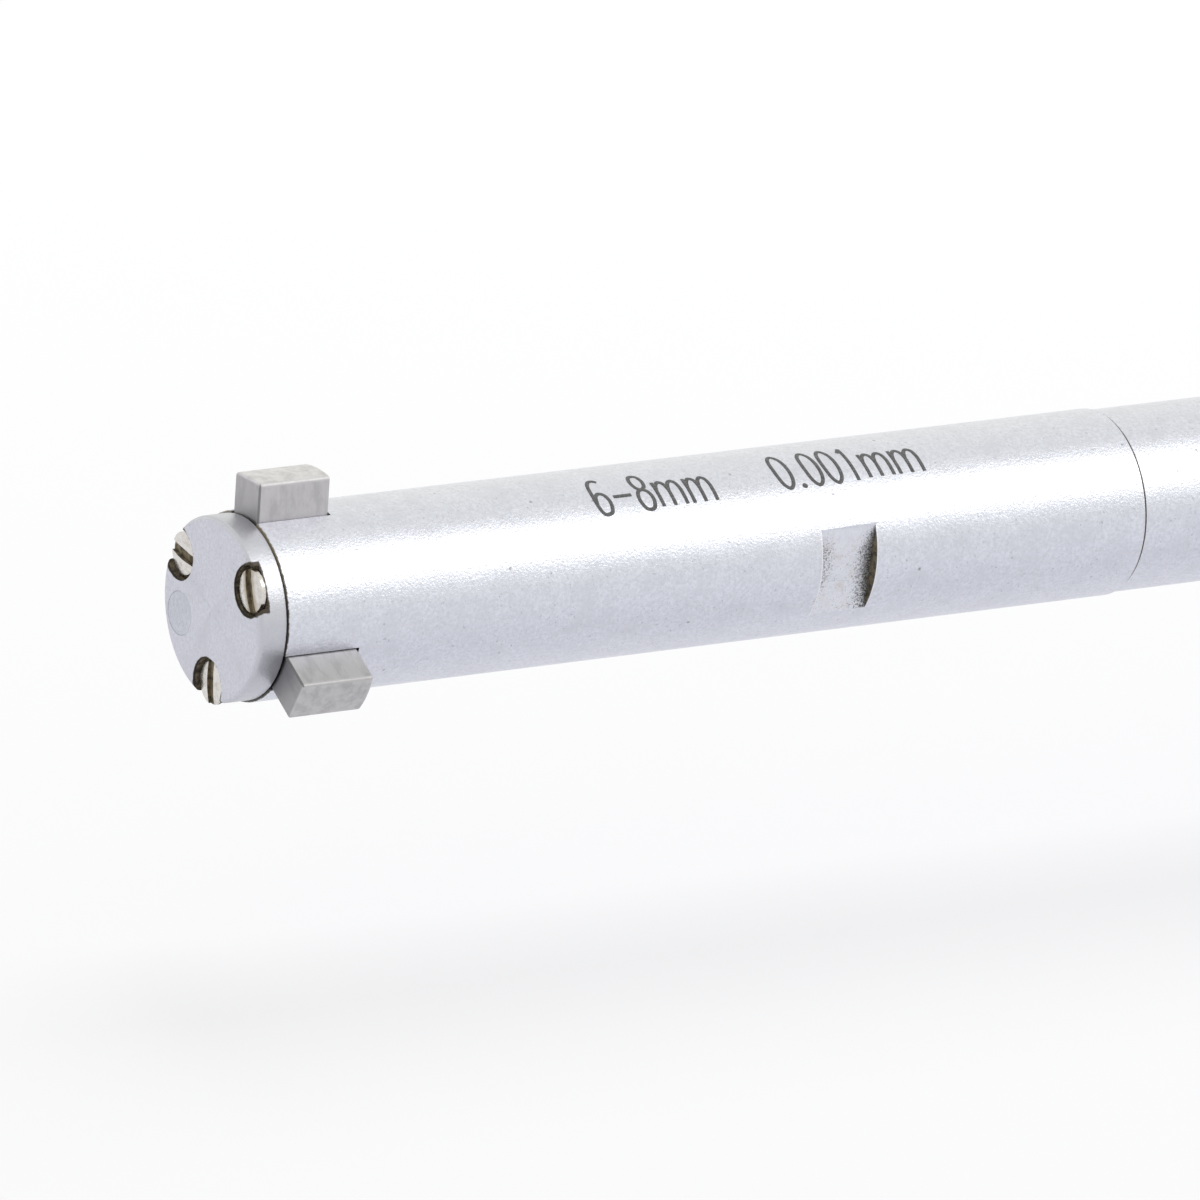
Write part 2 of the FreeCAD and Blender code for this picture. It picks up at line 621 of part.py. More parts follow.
def make_anvil(number):
    """Measuring anvil with a crowned face, a foot sloped like the cone and wedge-shaped sides."""
    body = new_body(f"anvil_{number + 1}")
    half = size.anvil_width / 2
    shoulder = crest_radius - size.anvil_crown_radius
    sketch = new_sketch(body, "YZ_Plane", "section", anvil_front)
    drop = (size.anvil_crown_radius.value ** 2 - half.value ** 2) ** 0.5
    crown_edge = Size(
        shoulder.value + drop,
        f"({shoulder.text} + sqrt({size.anvil_crown_radius.text} ^ 2 - {half.text} ^ 2))")
    tangent = math.sqrt(3.0)
    narrow = (foot_smallest - size.cone_play) * tangent
    wide_level = foot_radius + (half - narrow) / tangent
    outline(sketch, [
        (-narrow, foot_radius),
        (narrow, foot_radius),
        (half, wide_level),
        (half, crown_edge),
        Round(size.anvil_crown_radius),
        (-half, crown_edge),
        (-half, wide_level),
    ])
    block = body.newObject("PartDesign::Pad", f"{body.Label}_block")
    block.Profile = sketch
    block.Length = size.anvil_length.value
    block.setExpression("Length", size.anvil_length.text)
    doc.recompute()
    body.Tip = block
    sketch = new_sketch(body, "XZ_Plane", "foot_sketch")
    rise = size.anvil_seat_length * size.cone_slope
    outline(sketch, [
        (anvil_rear - size.anvil_seat_length, foot_radius - size.anvil_edge),
        (anvil_rear + size.anvil_edge, foot_radius - size.anvil_edge),
        (anvil_rear + size.anvil_edge, foot_radius + rise + size.anvil_edge * size.cone_slope),
        (anvil_rear - size.anvil_seat_length, foot_radius),
    ])
    cut(body, sketch, size.anvil_width * 2, "foot", midplane=True)
    sketch = new_sketch(body, "YZ_Plane", "hook_sketch", anvil_rear)
    ring_in(sketch, ZERO, wire_level, wire_radius + size.running_play, "hole")
    cut(body, sketch, size.wire_hook_length + size.running_play, "hook_hole")
    sketch = new_sketch(body, "XY_Plane", "edge_sketch")
    for side, name in ((as_size(1.0), "near"), (as_size(-1.0), "far")):
        corner = side * half
        inner = side * (half - size.anvil_edge)
        points = [(anvil_rear - size.anvil_edge, corner), (anvil_rear, inner), (anvil_rear, corner)]
        triangle(sketch, points, name)
    cut(body, sketch, size.reading_largest, "edge", backwards=True)
    turn_body(body, as_size(120.0 * number))


def triangle(sketch, points, name):
    """Add one closed triangle to a sketch."""
    spots = [FreeCAD.Vector(a.value, b.value, 0) for a, b in points]
    edges = [sketch.addGeometry(Part.LineSegment(spots[i], spots[(i + 1) % 3])) for i in range(3)]
    for place, edge in enumerate(edges):
        sketch.addConstraint(Sketcher.Constraint("Coincident", edge, 2, edges[(place + 1) % 3], 1))
        pin_point(sketch, edge, 1, points[place][0], points[place][1], f"{name}_{place}")


def make_return_spring(number):
    """Straight wire spring that pulls one anvil back: a hook in front and a tail behind."""
    body = new_body(f"return_spring_{number + 1}")
    path = new_sketch(body, "XZ_Plane", "path")
    hook_end = anvil_rear - size.wire_hook_length
    tail_place = slot_rear + size.wire_run_length
    tail_end = size.wire_tail_radius + size.wire_tail_length
    points = [
        (hook_end, wire_level),
        (slot_rear, wire_level),
        (tail_place, size.wire_tail_radius),
        (tail_place, tail_end),
    ]
    spots = [FreeCAD.Vector(a.value, b.value, 0) for a, b in points]
    edges = [path.addGeometry(Part.LineSegment(spots[i], spots[i + 1])) for i in range(3)]
    for place, edge in enumerate(edges):
        pin_point(path, edge, 1, points[place][0], points[place][1], f"point_{place}")
        if place:
            path.addConstraint(Sketcher.Constraint("Coincident", edges[place - 1], 2, edge, 1))
    pin_point(path, edges[2], 2, points[3][0], points[3][1], "point_3")
    section = new_sketch(body, "YZ_Plane", "section", hook_end)
    ring_in(section, ZERO, wire_level, wire_radius, "wire")
    pipe = body.newObject("PartDesign::AdditivePipe", f"{body.Label}_wire")
    pipe.Profile = section
    pipe.Spine = (path, ["Edge1", "Edge2", "Edge3"])
    pipe.Transition = "Right corner"
    doc.recompute()
    body.Tip = pipe
    turn_body(body, as_size(120.0 * number))


def make_measuring_cone():
    """Cone that spreads the anvils, with a round guide and a socket for the rod."""
    base = cone_tip + (guide_radius - cone_tip_radius) / size.cone_slope
    socket = size.cone_socket_diameter / 2
    relief_front = base + (cone_rear - base) / 2 - size.cone_relief_length / 2
    relief_rear = relief_front + size.cone_relief_length
    turned("measuring_cone", [
        (cone_tip, ZERO),
        (cone_tip, cone_tip_radius),
        (base, guide_radius),
        (relief_front, guide_radius),
        (relief_front, guide_radius - size.edge_break * 2),
        (relief_rear, guide_radius - size.edge_break * 2),
        (relief_rear, guide_radius),
        (cone_rear - size.edge_break, guide_radius),
        (cone_rear, guide_radius - size.edge_break),
        (cone_rear, socket),
        (cone_rear - size.cone_socket_depth, socket),
        (cone_rear - size.cone_socket_depth, ZERO),
    ])


def make_push_rod():
    """Long rod between the cone and the thrust cup, with a cross hole for the collar's pin."""
    spigot = size.cone_socket_diameter / 2 - size.seat_play
    spigot_front = cone_rear - size.cone_socket_depth + size.seat_play
    front = cone_rear + size.seat_play
    body = turned("push_rod", [
        (spigot_front, ZERO),
        (spigot_front, spigot),
        (front, spigot),
        (front, rod_radius),
        (rod_rear - size.edge_break * 2, rod_radius),
        (rod_rear, rod_radius - size.edge_break * 2),
        (rod_rear, ZERO),
    ])
    pin_hole(body)


def pin_hole(body):
    """Cross hole for the pin that holds the spring collar on the rod."""
    sketch = new_sketch(body, "XY_Plane", "pin_sketch")
    place = cone_rear + size.collar_from_cone + size.collar_length / 2
    ring_in(sketch, place, ZERO, size.collar_pin_diameter / 2 + size.seat_play, "hole")
    cut(body, sketch, size.collar_diameter * 2, "pin_hole", midplane=True)


def make_spring_collar():
    """Collar that takes the rear end of the rod spring, and its cross pin."""
    front = cone_rear + size.collar_from_cone
    rear = front + size.collar_length
    outer = size.collar_diameter / 2
    collar = turned("spring_collar", step_bored(front, rear, outer, rod_radius + size.seat_play, size.edge_break))
    pin_hole(collar)
    radius = size.collar_pin_diameter / 2
    half = outer - size.running_play
    pin = doc.addObject("Part::Cylinder", "collar_pin")
    pin.Label = "collar_pin"
    for prop, expression in (
            ("Radius", radius),
            ("Height", half * 2),
            ("Placement.Base.x", front + size.collar_length / 2),
            ("Placement.Base.z", -half)):
        pin.setExpression(prop, expression.text)
    NODES.append(pin)


def coil(label, front, rear, wire, middle, turns):
    """Round-wire compression spring along the X axis, wound as a whole helix."""
    start = front + wire / 2
    height = rear - front - wire
    helix = doc.addObject("Part::Helix", f"{label}_path")
    helix.setExpression("Height", height.text)
    helix.setExpression("Pitch", (height / turns).text)
    helix.setExpression("Radius", (middle / 2).text)
    section = doc.addObject("Part::RegularPolygon", f"{label}_section")
    section.Polygon = WIRE_SIDES
    section.Placement.Rotation = FreeCAD.Rotation(FreeCAD.Vector(1, 0, 0), 90)
    section.setExpression("Circumradius", (wire / 2).text)
    section.setExpression("Placement.Base.x", (middle / 2).text)
    spring = doc.addObject("Part::Sweep", label)
    spring.Label = label
    spring.Sections = [section]
    spring.Spine = (helix, ["Edge1"])
    spring.Solid = True
    spring.Frenet = True
    spring.Placement.Rotation = FreeCAD.Rotation(FreeCAD.Vector(0, 1, 0), 90)
    spring.setExpression("Placement.Base.x", start.text)
    NODES.append(spring)


def make_rod_spring():
    """Spring that pushes the rod back towards the spindle."""
    front = socket_floor + size.seat_play
    rear = cone_rear + size.collar_from_cone - size.seat_play
    coil("rod_spring", front, rear, size.rod_spring_wire, size.rod_spring_diameter, size.rod_spring_turns)


def make_extension_tube():
    """Tube between the head and the handle, with a spigot that screws into the head."""
    bore = size.tube_bore_diameter / 2
    spigot_front = head_rear - size.spigot_length
    turned("extension_tube", [
        (spigot_front, bore),
        (spigot_front, spigot_radius - size.edge_break * 2),
        (spigot_front + size.edge_break * 2, spigot_radius),
        (head_rear, spigot_radius),
        (head_rear, tube_radius - size.edge_break),
        (head_rear + size.edge_break, tube_radius),
        (tube_rear - size.edge_break, tube_radius),
        (tube_rear, tube_radius - size.edge_break),
        (tube_rear, bore),
    ])


def make_guide_bush():
    """Bronze bush that guides the rear of the rod in the tube."""
    rear = tube_rear - size.bush_inset
    outer = size.tube_bore_diameter / 2 - size.seat_play
    turned("guide_bush", step_bored(rear - size.bush_length, rear, outer, rod_bore, size.edge_break))


def make_tube_ring():
    """Clamp ring that locks the tube in front of the barrel, with two spanner flats."""
    outer = size.ring_diameter / 2
    front = barrel_front - size.ring_length
    body = turned("tube_ring", [
        (front, tube_radius + size.running_play),
        (front, outer - broad_bevel),
        (front + broad_bevel, outer),
        (barrel_front - size.seat_play, outer),
        (barrel_front - size.seat_play, tube_radius + size.running_play),
    ])
    sketch = new_sketch(body, "XY_Plane", "flat_sketch", size.ring_across_flats / 2)
    outline(sketch, box_outline(-outer, outer, front - size.edge_break, barrel_front))
    flat = cut(body, sketch, size.ring_diameter, "flat", backwards=True)
    repeat_round(body, flat, 2, "flat_pattern")


def make_barrel():
    """Inner sleeve of the handle: tapered nose, seat for the scale sleeve, slit rear thread."""
    nose = size.nose_diameter / 2
    tube_hole = tube_radius + size.seat_play
    chamber = size.chamber_diameter / 2
    thread = spindle_radius + size.thread_play
    chamber_rear = nose_rear + size.chamber_length
    bottom = tube_rear + size.edge_break
    stub = nut_bore - size.seat_play
    flange = sleeve_radius + size.flange_rise
    body = turned("barrel", [
        (barrel_front, tube_hole),
        (barrel_front, nose),
        (nose_rear, flange),
        (flange_rear, flange),
        (flange_rear, sleeve_seat_radius),
        (sleeve_rear, sleeve_seat_radius),
        (sleeve_rear, stub),
        (barrel_rear - broad_bevel, stub),
        (barrel_rear, stub - broad_bevel),
        (barrel_rear, thread),
        (chamber_rear, thread),
        (chamber_rear, chamber),
        (bottom, chamber),
        (bottom, tube_hole),
    ])
    half = size.barrel_slit_width / 2
    sketch = new_sketch(body, "XY_Plane", "slit_sketch")
    outline(sketch, box_outline(-half, half, barrel_rear - size.barrel_slit_length, barrel_rear + half))
    slit = cut(body, sketch, sleeve_radius, "slit", backwards=True)
    repeat_round(body, slit, 3, "slit_pattern")


def make_scale_sleeve():
    """Thin outer sleeve that carries the scale, with a hole for the zero-setting spanner."""
    front = flange_rear + size.seat_play
    body = turned("scale_sleeve", step_bored(
        front, sleeve_rear, sleeve_radius, sleeve_seat_radius + size.seat_play, size.edge_break))
    sketch = new_sketch(body, "XY_Plane", "spanner_sketch")
    ring_in(sketch, front + size.spanner_hole_inset, ZERO, size.spanner_hole_diameter / 2, "hole")
    cut(body, sketch, size.sleeve_diameter, "spanner_hole")


def make_adjusting_nut():
    """Slotted ring nut that squeezes the slit thread of the barrel to take up its play."""
    front = sleeve_rear + size.nut_inset
    rear = front + size.nut_length
    body = turned("adjusting_nut", step_bored(front, rear, nut_radius, nut_bore, bevel))
    half = size.nut_slot_width / 2
    sketch = new_sketch(body, "XZ_Plane", "slot_sketch")
    outline(sketch, box_outline(nut_radius - size.nut_slot_depth, nut_radius + half, front - half, rear + half))
    slot = cut(body, sketch, size.nut_slot_width, "slot", midplane=True)
    repeat_round(body, slot, 4, "slot_pattern")


def make_thrust_cup():
    """Hard cup on the rear end of the rod, with a conical seat for the ball."""
    outer = size.cup_diameter / 2
    front = rod_rear - size.cup_grip
    mouth = size.cup_mouth_diameter / 2
    turned("thrust_cup", [
        (front, rod_radius + size.seat_play),
        (front, outer - bevel),
        (front + bevel, outer),
        (cup_rear - bevel, outer),
        (cup_rear, outer - bevel),
        (cup_rear, mouth),
        (cup_rear - mouth, ZERO),
        (rod_rear + size.seat_play, ZERO),
        (rod_rear + size.seat_play, rod_radius + size.seat_play),
    ])


def make_thrust_ball():
    """Hardened ball between the spindle, which turns, and the rod, which doesn't."""
    ball = doc.addObject("Part::Sphere", "thrust_ball")
    ball.Label = "thrust_ball"
    ball.setExpression("Radius", (size.ball_diameter / 2).text)
    ball.setExpression("Placement.Base.x", ball_centre.text)
    NODES.append(ball)


def make_spindle():
    """Spindle: a flat nose, the fine thread, the taper for the thimble and a threaded tail."""
    nose = size.spindle_nose_diameter / 2
    tail = size.spindle_tail_diameter / 2
    turned("spindle", [
        (spindle_front, ZERO),
        (spindle_front, nose),
        (spindle_thread_front, nose),
        (spindle_thread_front, spindle_radius),
        (taper_front, spindle_radius),
        (taper_rear, size.spindle_taper_end / 2),
        (taper_rear, tail),
        (spindle_rear - bevel, tail),
        (spindle_rear, tail - bevel),
        (spindle_rear, ZERO),
    ])


def make_thimble():
    """Thimble: graduated bevel in front, fluted grip, and a tapered hub on the spindle."""
    bore = sleeve_radius + size.thimble_sleeve_play
    band = bore + size.thimble_wall
    land = band + size.grip_rise
    floor = band - size.grip_groove_depth
    groove_front = thimble_front + size.thimble_bevel_length + size.thimble_front_band
    groove_rear = thimble_rear - size.thimble_rear_bevel - size.thimble_rear_band
    grip_front = groove_front + size.grip_groove_width
    grip_rear = groove_rear - size.grip_groove_width
    fall = (spindle_radius - size.spindle_taper_end / 2) / size.spindle_taper_length
    hub_radius = spindle_radius - fall * size.thimble_hub_inset + size.seat_play
    body = turned("thimble", [
        (thimble_front, bore),
        (thimble_front, bore + size.thimble_edge_wall),
        (thimble_front + size.thimble_bevel_length, band),
        (groove_front, band),
        (groove_front, floor),
        (grip_front, floor),
        (grip_front, land),
        (grip_rear, land),
        (grip_rear, floor),
        (groove_rear, floor),
        (groove_rear, band),
        (thimble_rear - size.thimble_rear_bevel, band),
        (thimble_rear, band - size.thimble_rear_fall),
        (thimble_rear, size.spindle_taper_end / 2 + size.seat_play),
        (taper_rear, size.spindle_taper_end / 2 + size.seat_play),
        (hub_front, hub_radius),
        (hub_front, bore),
    ])
    cut_flutes(body, land, grip_front, grip_rear)


def cut_flutes(body, land, front, rear):
    """Mill straight flutes into the grip, one of them at the bottom, so that the gauge lies still."""
    sketch = new_sketch(body, "YZ_Plane", "flute_sketch", front - size.grip_groove_width / 2)
    ring_in(sketch, ZERO, -(land - size.flute_depth + size.flute_radius), size.flute_radius, "flute")
    flute = cut(body, sketch, rear - front + size.grip_groove_width, "flute", backwards=True)
    repeat_round(body, flute, int(round(size.flute_count.value)), "flute_pattern")


def flats_cut(body, front, rear, across, wide):
    """Mill two opposite flats along a stretch of a round core."""
    sketch = new_sketch(body, "XY_Plane", "flat_sketch", across / 2)
    outline(sketch, box_outline(-wide, wide, front, rear))
    flat = cut(body, sketch, wide, "flat", backwards=True)
    repeat_round(body, flat, 2, "flat_pattern")


def make_ratchet_base():
    """Flanged core that screws on the spindle and carries the ratchet."""
    core = size.base_core_diameter / 2
    flange = size.base_flange_diameter / 2
    tail_hole = size.spindle_tail_diameter / 2 + size.seat_play
    screw_hole = size.ratchet_screw_diameter / 2 + size.seat_play
    tail_bottom = spindle_rear + size.edge_break
    screw_bottom = base_rear - size.ratchet_screw_length
    body = turned("ratchet_base", [
        (base_front, tail_hole),
        (base_front, flange),
        (base_flange_rear, flange),
        (base_flange_rear, core),
        (base_rear, core),
        (base_rear, screw_hole),
        (screw_bottom, screw_hole),
        (screw_bottom, ZERO),
        (tail_bottom, ZERO),
        (tail_bottom, tail_hole),
    ])
    flats_cut(body, base_flange_rear, click_rear + size.click_tooth_height, size.base_across_flats, core)


def make_ratchet_spring():
    """Spring that presses the click ring against the knob."""
    front = base_flange_rear + size.seat_play
    rear = front + size.ratchet_spring_length
    coil("ratchet_spring", front, rear, size.ratchet_spring_wire,
         size.ratchet_spring_diameter, size.ratchet_spring_turns)


def cut_teeth(body, bottom, rise, reach):
    """Cut one V of face teeth, from its bottom along the axis, then repeat it round the axis."""
    half_width = size.click_ring_diameter / 2 * Size(
        math.tan(math.pi / size.click_tooth_count.value),
        f"tan(180 deg / {size.click_tooth_count.text})")
    sketch = new_sketch(body, "XY_Plane", "tooth_sketch")
    outline(sketch, [(bottom, ZERO), (bottom + rise, half_width), (bottom + rise, -half_width)])
    tooth = cut(body, sketch, reach, "tooth", backwards=True)
    repeat_round(body, tooth, int(round(size.click_tooth_count.value)), "tooth_pattern")


def make_click_ring():
    """Ring keyed to the base by two flats, with a row of face teeth towards the knob."""
    outer = size.click_ring_diameter / 2
    inner = size.base_core_diameter / 2 + size.running_play
    top = click_rear + size.click_tooth_height
    body = turned("click_ring", step_bored(click_front, top, outer, inner, size.edge_break))
    cut_teeth(body, click_rear, size.click_tooth_height + size.edge_break, outer)
    level = size.base_across_flats / 2 + size.running_play
    sketch = new_sketch(body, "XY_Plane", "lug_sketch", level)
    outline(sketch, box_outline(-inner / 2, inner / 2, click_front, click_rear))
    lug = body.newObject("PartDesign::Pad", "click_ring_lug")
    lug.Profile = sketch
    lug.setExpression("Length", (inner - level + bevel).text)
    doc.recompute()
    body.Tip = lug
    repeat_round(body, lug, 2, "lug_pattern")


def make_ratchet_knob():
    """Hollow knob that turns on the base and slips over the click ring at a set force."""
    outer = size.knob_diameter / 2
    hollow = outer - size.knob_wall
    bore = size.base_core_diameter / 2 + size.running_play
    recess = size.knob_recess_diameter / 2
    front = thimble_rear + size.knob_front_gap
    tooth_front = web_front - size.click_tooth_height
    body = turned("ratchet_knob", [
        (front, hollow),
        (front, outer - size.knob_bevel),
        (front + size.knob_bevel, outer),
        (knob_rear - size.knob_bevel, outer),
        (knob_rear, outer - size.knob_bevel),
        (knob_rear, recess),
        (web_rear, recess),
        (web_rear, bore),
        (tooth_front, bore),
        (tooth_front, hollow),
    ])
    cut_teeth(body, web_front, -(size.click_tooth_height + size.edge_break), hollow)
    turn_body(body, as_size(180.0) / size.click_tooth_count)


def make_ratchet_screw():
    """Screw and washer that hold the knob on the base."""
    bore = size.ratchet_screw_diameter / 2 + size.running_play
    turned("ratchet_washer", step_bored(
        washer_front, washer_front + size.washer_thickness, size.washer_diameter / 2, bore, size.edge_break))
    head = size.ratchet_head_diameter / 2
    shank = size.ratchet_screw_diameter / 2
    rear = screw_head_front + size.ratchet_head_height
    front = base_rear - size.ratchet_screw_length + size.edge_break
    body = turned("ratchet_screw", [
        (front, ZERO),
        (front, shank - bevel),
        (front + bevel, shank),
        (screw_head_front, shank),
        (screw_head_front, head),
        (rear - bevel, head),
        (rear, head - bevel),
        (rear, ZERO),
    ])
    half = size.ratchet_slot_width / 2
    sketch = new_sketch(body, "XZ_Plane", "slot_sketch")
    outline(sketch, box_outline(-half, half, rear - size.ratchet_slot_depth, rear + half))
    cut(body, sketch, size.ratchet_head_diameter * 2, "slot", midplane=True)


make_end_cap()
make_cap_plug()
make_cap_screws()
make_head_body()
for place in range(3):
    make_anvil(place)
    make_return_spring(place)
make_measuring_cone()
make_push_rod()
make_spring_collar()
make_rod_spring()
make_extension_tube()
make_guide_bush()
make_tube_ring()
make_barrel()
make_scale_sleeve()
make_adjusting_nut()
make_thrust_cup()
make_thrust_ball()
make_spindle()
make_thimble()
make_ratchet_base()
make_ratchet_spring()
make_click_ring()
make_ratchet_knob()
make_ratchet_screw()
doc.recompute()

# Nothing is written unless every object built and every piece is a whole solid
for item in doc.Objects:
    if "Invalid" in item.State or "Error" in item.State:
        raise ValueError(f"{item.Name} failed: {item.State}")
for node in NODES:
    if node.Shape.isNull() or not node.Shape.isValid() or not node.Shape.Solids:
        raise ValueError(f"{node.Label} has no valid solid")
os.makedirs("parts", exist_ok=True)
for node in NODES:
    node.Shape.exportStep(f"parts/{node.Label}.step")
    corner = node.Shape.BoundBox
    print(f"{node.Label}: {len(node.Shape.Solids)} solids, {node.Shape.Volume:.2f} mm3, "
          f"x {corner.XMin:.2f} to {corner.XMax:.2f}")
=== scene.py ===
import math
import bmesh
import bpy
from mathutils import Matrix, Vector


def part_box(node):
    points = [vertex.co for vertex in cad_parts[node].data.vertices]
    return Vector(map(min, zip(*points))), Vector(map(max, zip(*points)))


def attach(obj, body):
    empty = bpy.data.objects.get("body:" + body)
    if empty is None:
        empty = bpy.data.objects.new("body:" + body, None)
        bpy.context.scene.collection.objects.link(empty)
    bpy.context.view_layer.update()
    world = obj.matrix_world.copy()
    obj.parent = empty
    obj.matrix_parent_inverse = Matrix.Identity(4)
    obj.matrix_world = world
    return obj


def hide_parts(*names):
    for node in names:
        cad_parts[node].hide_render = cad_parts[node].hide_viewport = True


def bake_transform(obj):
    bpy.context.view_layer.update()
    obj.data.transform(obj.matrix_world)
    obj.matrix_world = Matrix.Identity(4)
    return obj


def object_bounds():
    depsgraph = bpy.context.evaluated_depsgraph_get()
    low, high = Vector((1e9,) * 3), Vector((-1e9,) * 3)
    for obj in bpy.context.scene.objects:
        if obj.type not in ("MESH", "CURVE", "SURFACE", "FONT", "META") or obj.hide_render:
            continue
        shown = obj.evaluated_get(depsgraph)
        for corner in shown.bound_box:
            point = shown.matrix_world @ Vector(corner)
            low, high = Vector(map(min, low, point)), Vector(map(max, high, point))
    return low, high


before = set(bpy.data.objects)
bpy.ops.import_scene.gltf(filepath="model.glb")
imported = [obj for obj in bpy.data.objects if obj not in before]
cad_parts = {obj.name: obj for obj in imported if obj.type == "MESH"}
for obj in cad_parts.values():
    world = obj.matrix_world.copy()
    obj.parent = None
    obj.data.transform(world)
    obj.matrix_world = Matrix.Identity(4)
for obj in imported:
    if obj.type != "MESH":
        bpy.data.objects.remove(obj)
cad_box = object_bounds()

# Camera: in front of the measuring head and a little above it, turned slightly clockwise,
# with a long lens, so that the head fills the picture and the tube runs out on the right.
MM = 0.001
AZIMUTH = math.radians(-33.298185)
ELEVATION = math.radians(16.996737)
ROLL = math.radians(3.807930)
AIM = Vector((14.015025, 1.358025, -1.647764)) * MM
DISTANCE = 482.5533 * MM
LENS = 501.516
SENSOR = 36
CLIP = 0.01, 20


def new_piece(name, data, *materials):
    """Put a camera, a lamp or a mesh in the scene, with its materials."""
    piece = bpy.data.objects.new(name, data)
    bpy.context.scene.collection.objects.link(piece)
    for material in materials:
        data.materials.append(material)
    return piece


def standing(place, *axes):
    """Matrix that puts a thing at a place, turned to three axes."""
    return Matrix.Translation(place) @ Matrix(axes).transposed().to_4x4()


back = Vector((math.sin(AZIMUTH) * math.cos(ELEVATION),
               -math.cos(AZIMUTH) * math.cos(ELEVATION), math.sin(ELEVATION)))
level = Vector((math.cos(AZIMUTH), math.sin(AZIMUTH), 0))
upright = back.cross(level)
right = level * math.cos(ROLL) + upright * math.sin(ROLL)
up = upright * math.cos(ROLL) - level * math.sin(ROLL)
camera = new_piece("camera", bpy.data.cameras.new("camera"))
camera.data.sensor_fit = "HORIZONTAL"
camera.data.sensor_width = SENSOR
camera.data.lens = LENS
camera.data.clip_start, camera.data.clip_end = CLIP
camera.matrix_world = standing(AIM + back * DISTANCE, right, up, back)
bpy.context.scene.camera = camera
bpy.context.scene.view_settings.view_transform = "Standard"

# Floor: a sheet of white paper under the gauge. It shows as plain white and takes a faint
# shadow; the gauge rests on it with the lands of its grip.
PAPER = (0.8, 0.8, 0.8, 1)
PAPER_SHADE = (0.42, 0.42, 0.42, 1)
PAPER_SHINE = (0.600, 0.600, 0.618, 1)
FLOOR_HALF = 2.5
CORNERS = (-1, -1), (1, -1), (1, 1), (-1, 1)


class Wire:
    """What a node gives. Sums, products and the like of wires are wires, from a node of their own."""

    def __init__(self, socket):
        self.socket = socket
        self.tree = socket.id_data

    def __add__(self, other):
        return calc("ADD", self, other)

    def __sub__(self, other):
        return calc("SUBTRACT", self, other)

    def __mul__(self, other):
        return calc("MULTIPLY", self, other)

    def __truediv__(self, other):
        return calc("DIVIDE", self, other)

    def __abs__(self):
        return calc("ABSOLUTE", self)


def put(tree, kind, inputs=None, gives=0, **settings):
    """Add a node, set or join its inputs, and give one of its outputs."""
    made = tree.nodes.new(kind)
    for key, value in settings.items():
        setattr(made, key, value)
    for socket, value in (inputs or {}).items():
        if isinstance(value, Wire):
            tree.links.new(value.socket, made.inputs[socket])
        else:
            made.inputs[socket].default_value = value
    return Wire(made.outputs[gives]) if made.outputs else None


def calc(operation, *terms):
    """Add a math node to the tree that its terms come from."""
    tree = next(term.tree for term in terms if isinstance(term, Wire))
    return put(tree, "ShaderNodeMath", dict(enumerate(terms)), operation=operation)


def seen_straight(tree):
    """One for rays that show the background: from the camera, in gloss and through glass."""
    camera, gloss, glass = (put(tree, "ShaderNodeLightPath", gives=f"Is {kind} Ray")
                            for kind in ("Camera", "Glossy", "Transmission"))
    return calc("MAXIMUM", calc("MAXIMUM", camera, gloss), glass)


paper = bpy.data.materials.new("paper")
paper.use_nodes = True
tree = paper.node_tree
tree.nodes.clear()
matt = put(tree, "ShaderNodeBsdfDiffuse", {"Color": PAPER})
part_matt = put(tree, "ShaderNodeBsdfDiffuse", {"Color": PAPER_SHADE})
glow = put(tree, "ShaderNodeEmission", {"Color": PAPER_SHINE, "Strength": 1.0})
shown = put(tree, "ShaderNodeAddShader", {0: part_matt, 1: glow})
mix = put(tree, "ShaderNodeMixShader", {0: seen_straight(tree), 1: matt, 2: shown})
put(tree, "ShaderNodeOutputMaterial", {"Surface": mix})
sheet = bpy.data.meshes.new("floor")
sheet.from_pydata([(x * FLOOR_HALF, y * FLOOR_HALF, cad_box[0].z) for x, y in CORNERS], [],
                  [(0, 1, 2, 3)])
new_piece("floor", sheet, paper)

# Light: a white tent all round. A soft box in front and above, turned to the metal alone,
# leaves the broad white band along the head; a sheet and a lamp behind give the faint shadow.
TENT_LIGHT = 0.62
TENT_TINT = (0.985, 0.992, 0.948, 1)
LAMP_AIM = Vector((15 * MM, 0, 0))
world = bpy.data.worlds.new("tent")
bpy.context.scene.world = world
world.use_nodes = True
tree = world.node_tree
tree.nodes.clear()
strength = put(tree, "ShaderNodeMix", {0: seen_straight(tree), 2: TENT_LIGHT, 3: 1.0}, data_type="FLOAT")
tent = put(tree, "ShaderNodeBackground", {"Color": TENT_TINT, "Strength": strength})
put(tree, "ShaderNodeOutputWorld", {"Surface": tent})


def soft_box(name, turn, lean, wide, deep, distance, power, colour=(1, 1, 1), matt=True, gloss=True):
    """Hang a lamp round the head: turn it towards the camera from straight up, lean it back."""
    cross = math.sqrt(1 - lean * lean)
    turn = math.radians(turn)
    way = Vector((lean, -cross * math.sin(turn), cross * math.cos(turn)))
    lamp = new_piece(name, bpy.data.lights.new(name, "AREA"))
    lamp.data.shape = "RECTANGLE"
    lamp.data.size, lamp.data.size_y = wide, deep
    lamp.data.energy, lamp.data.color = power, colour
    lamp.visible_diffuse = matt
    lamp.visible_glossy = gloss
    side = way.cross(Vector((1, 0, 0))).normalized()
    lamp.matrix_world = standing(LAMP_AIM + way * distance, side.cross(way).normalized(), side, way)


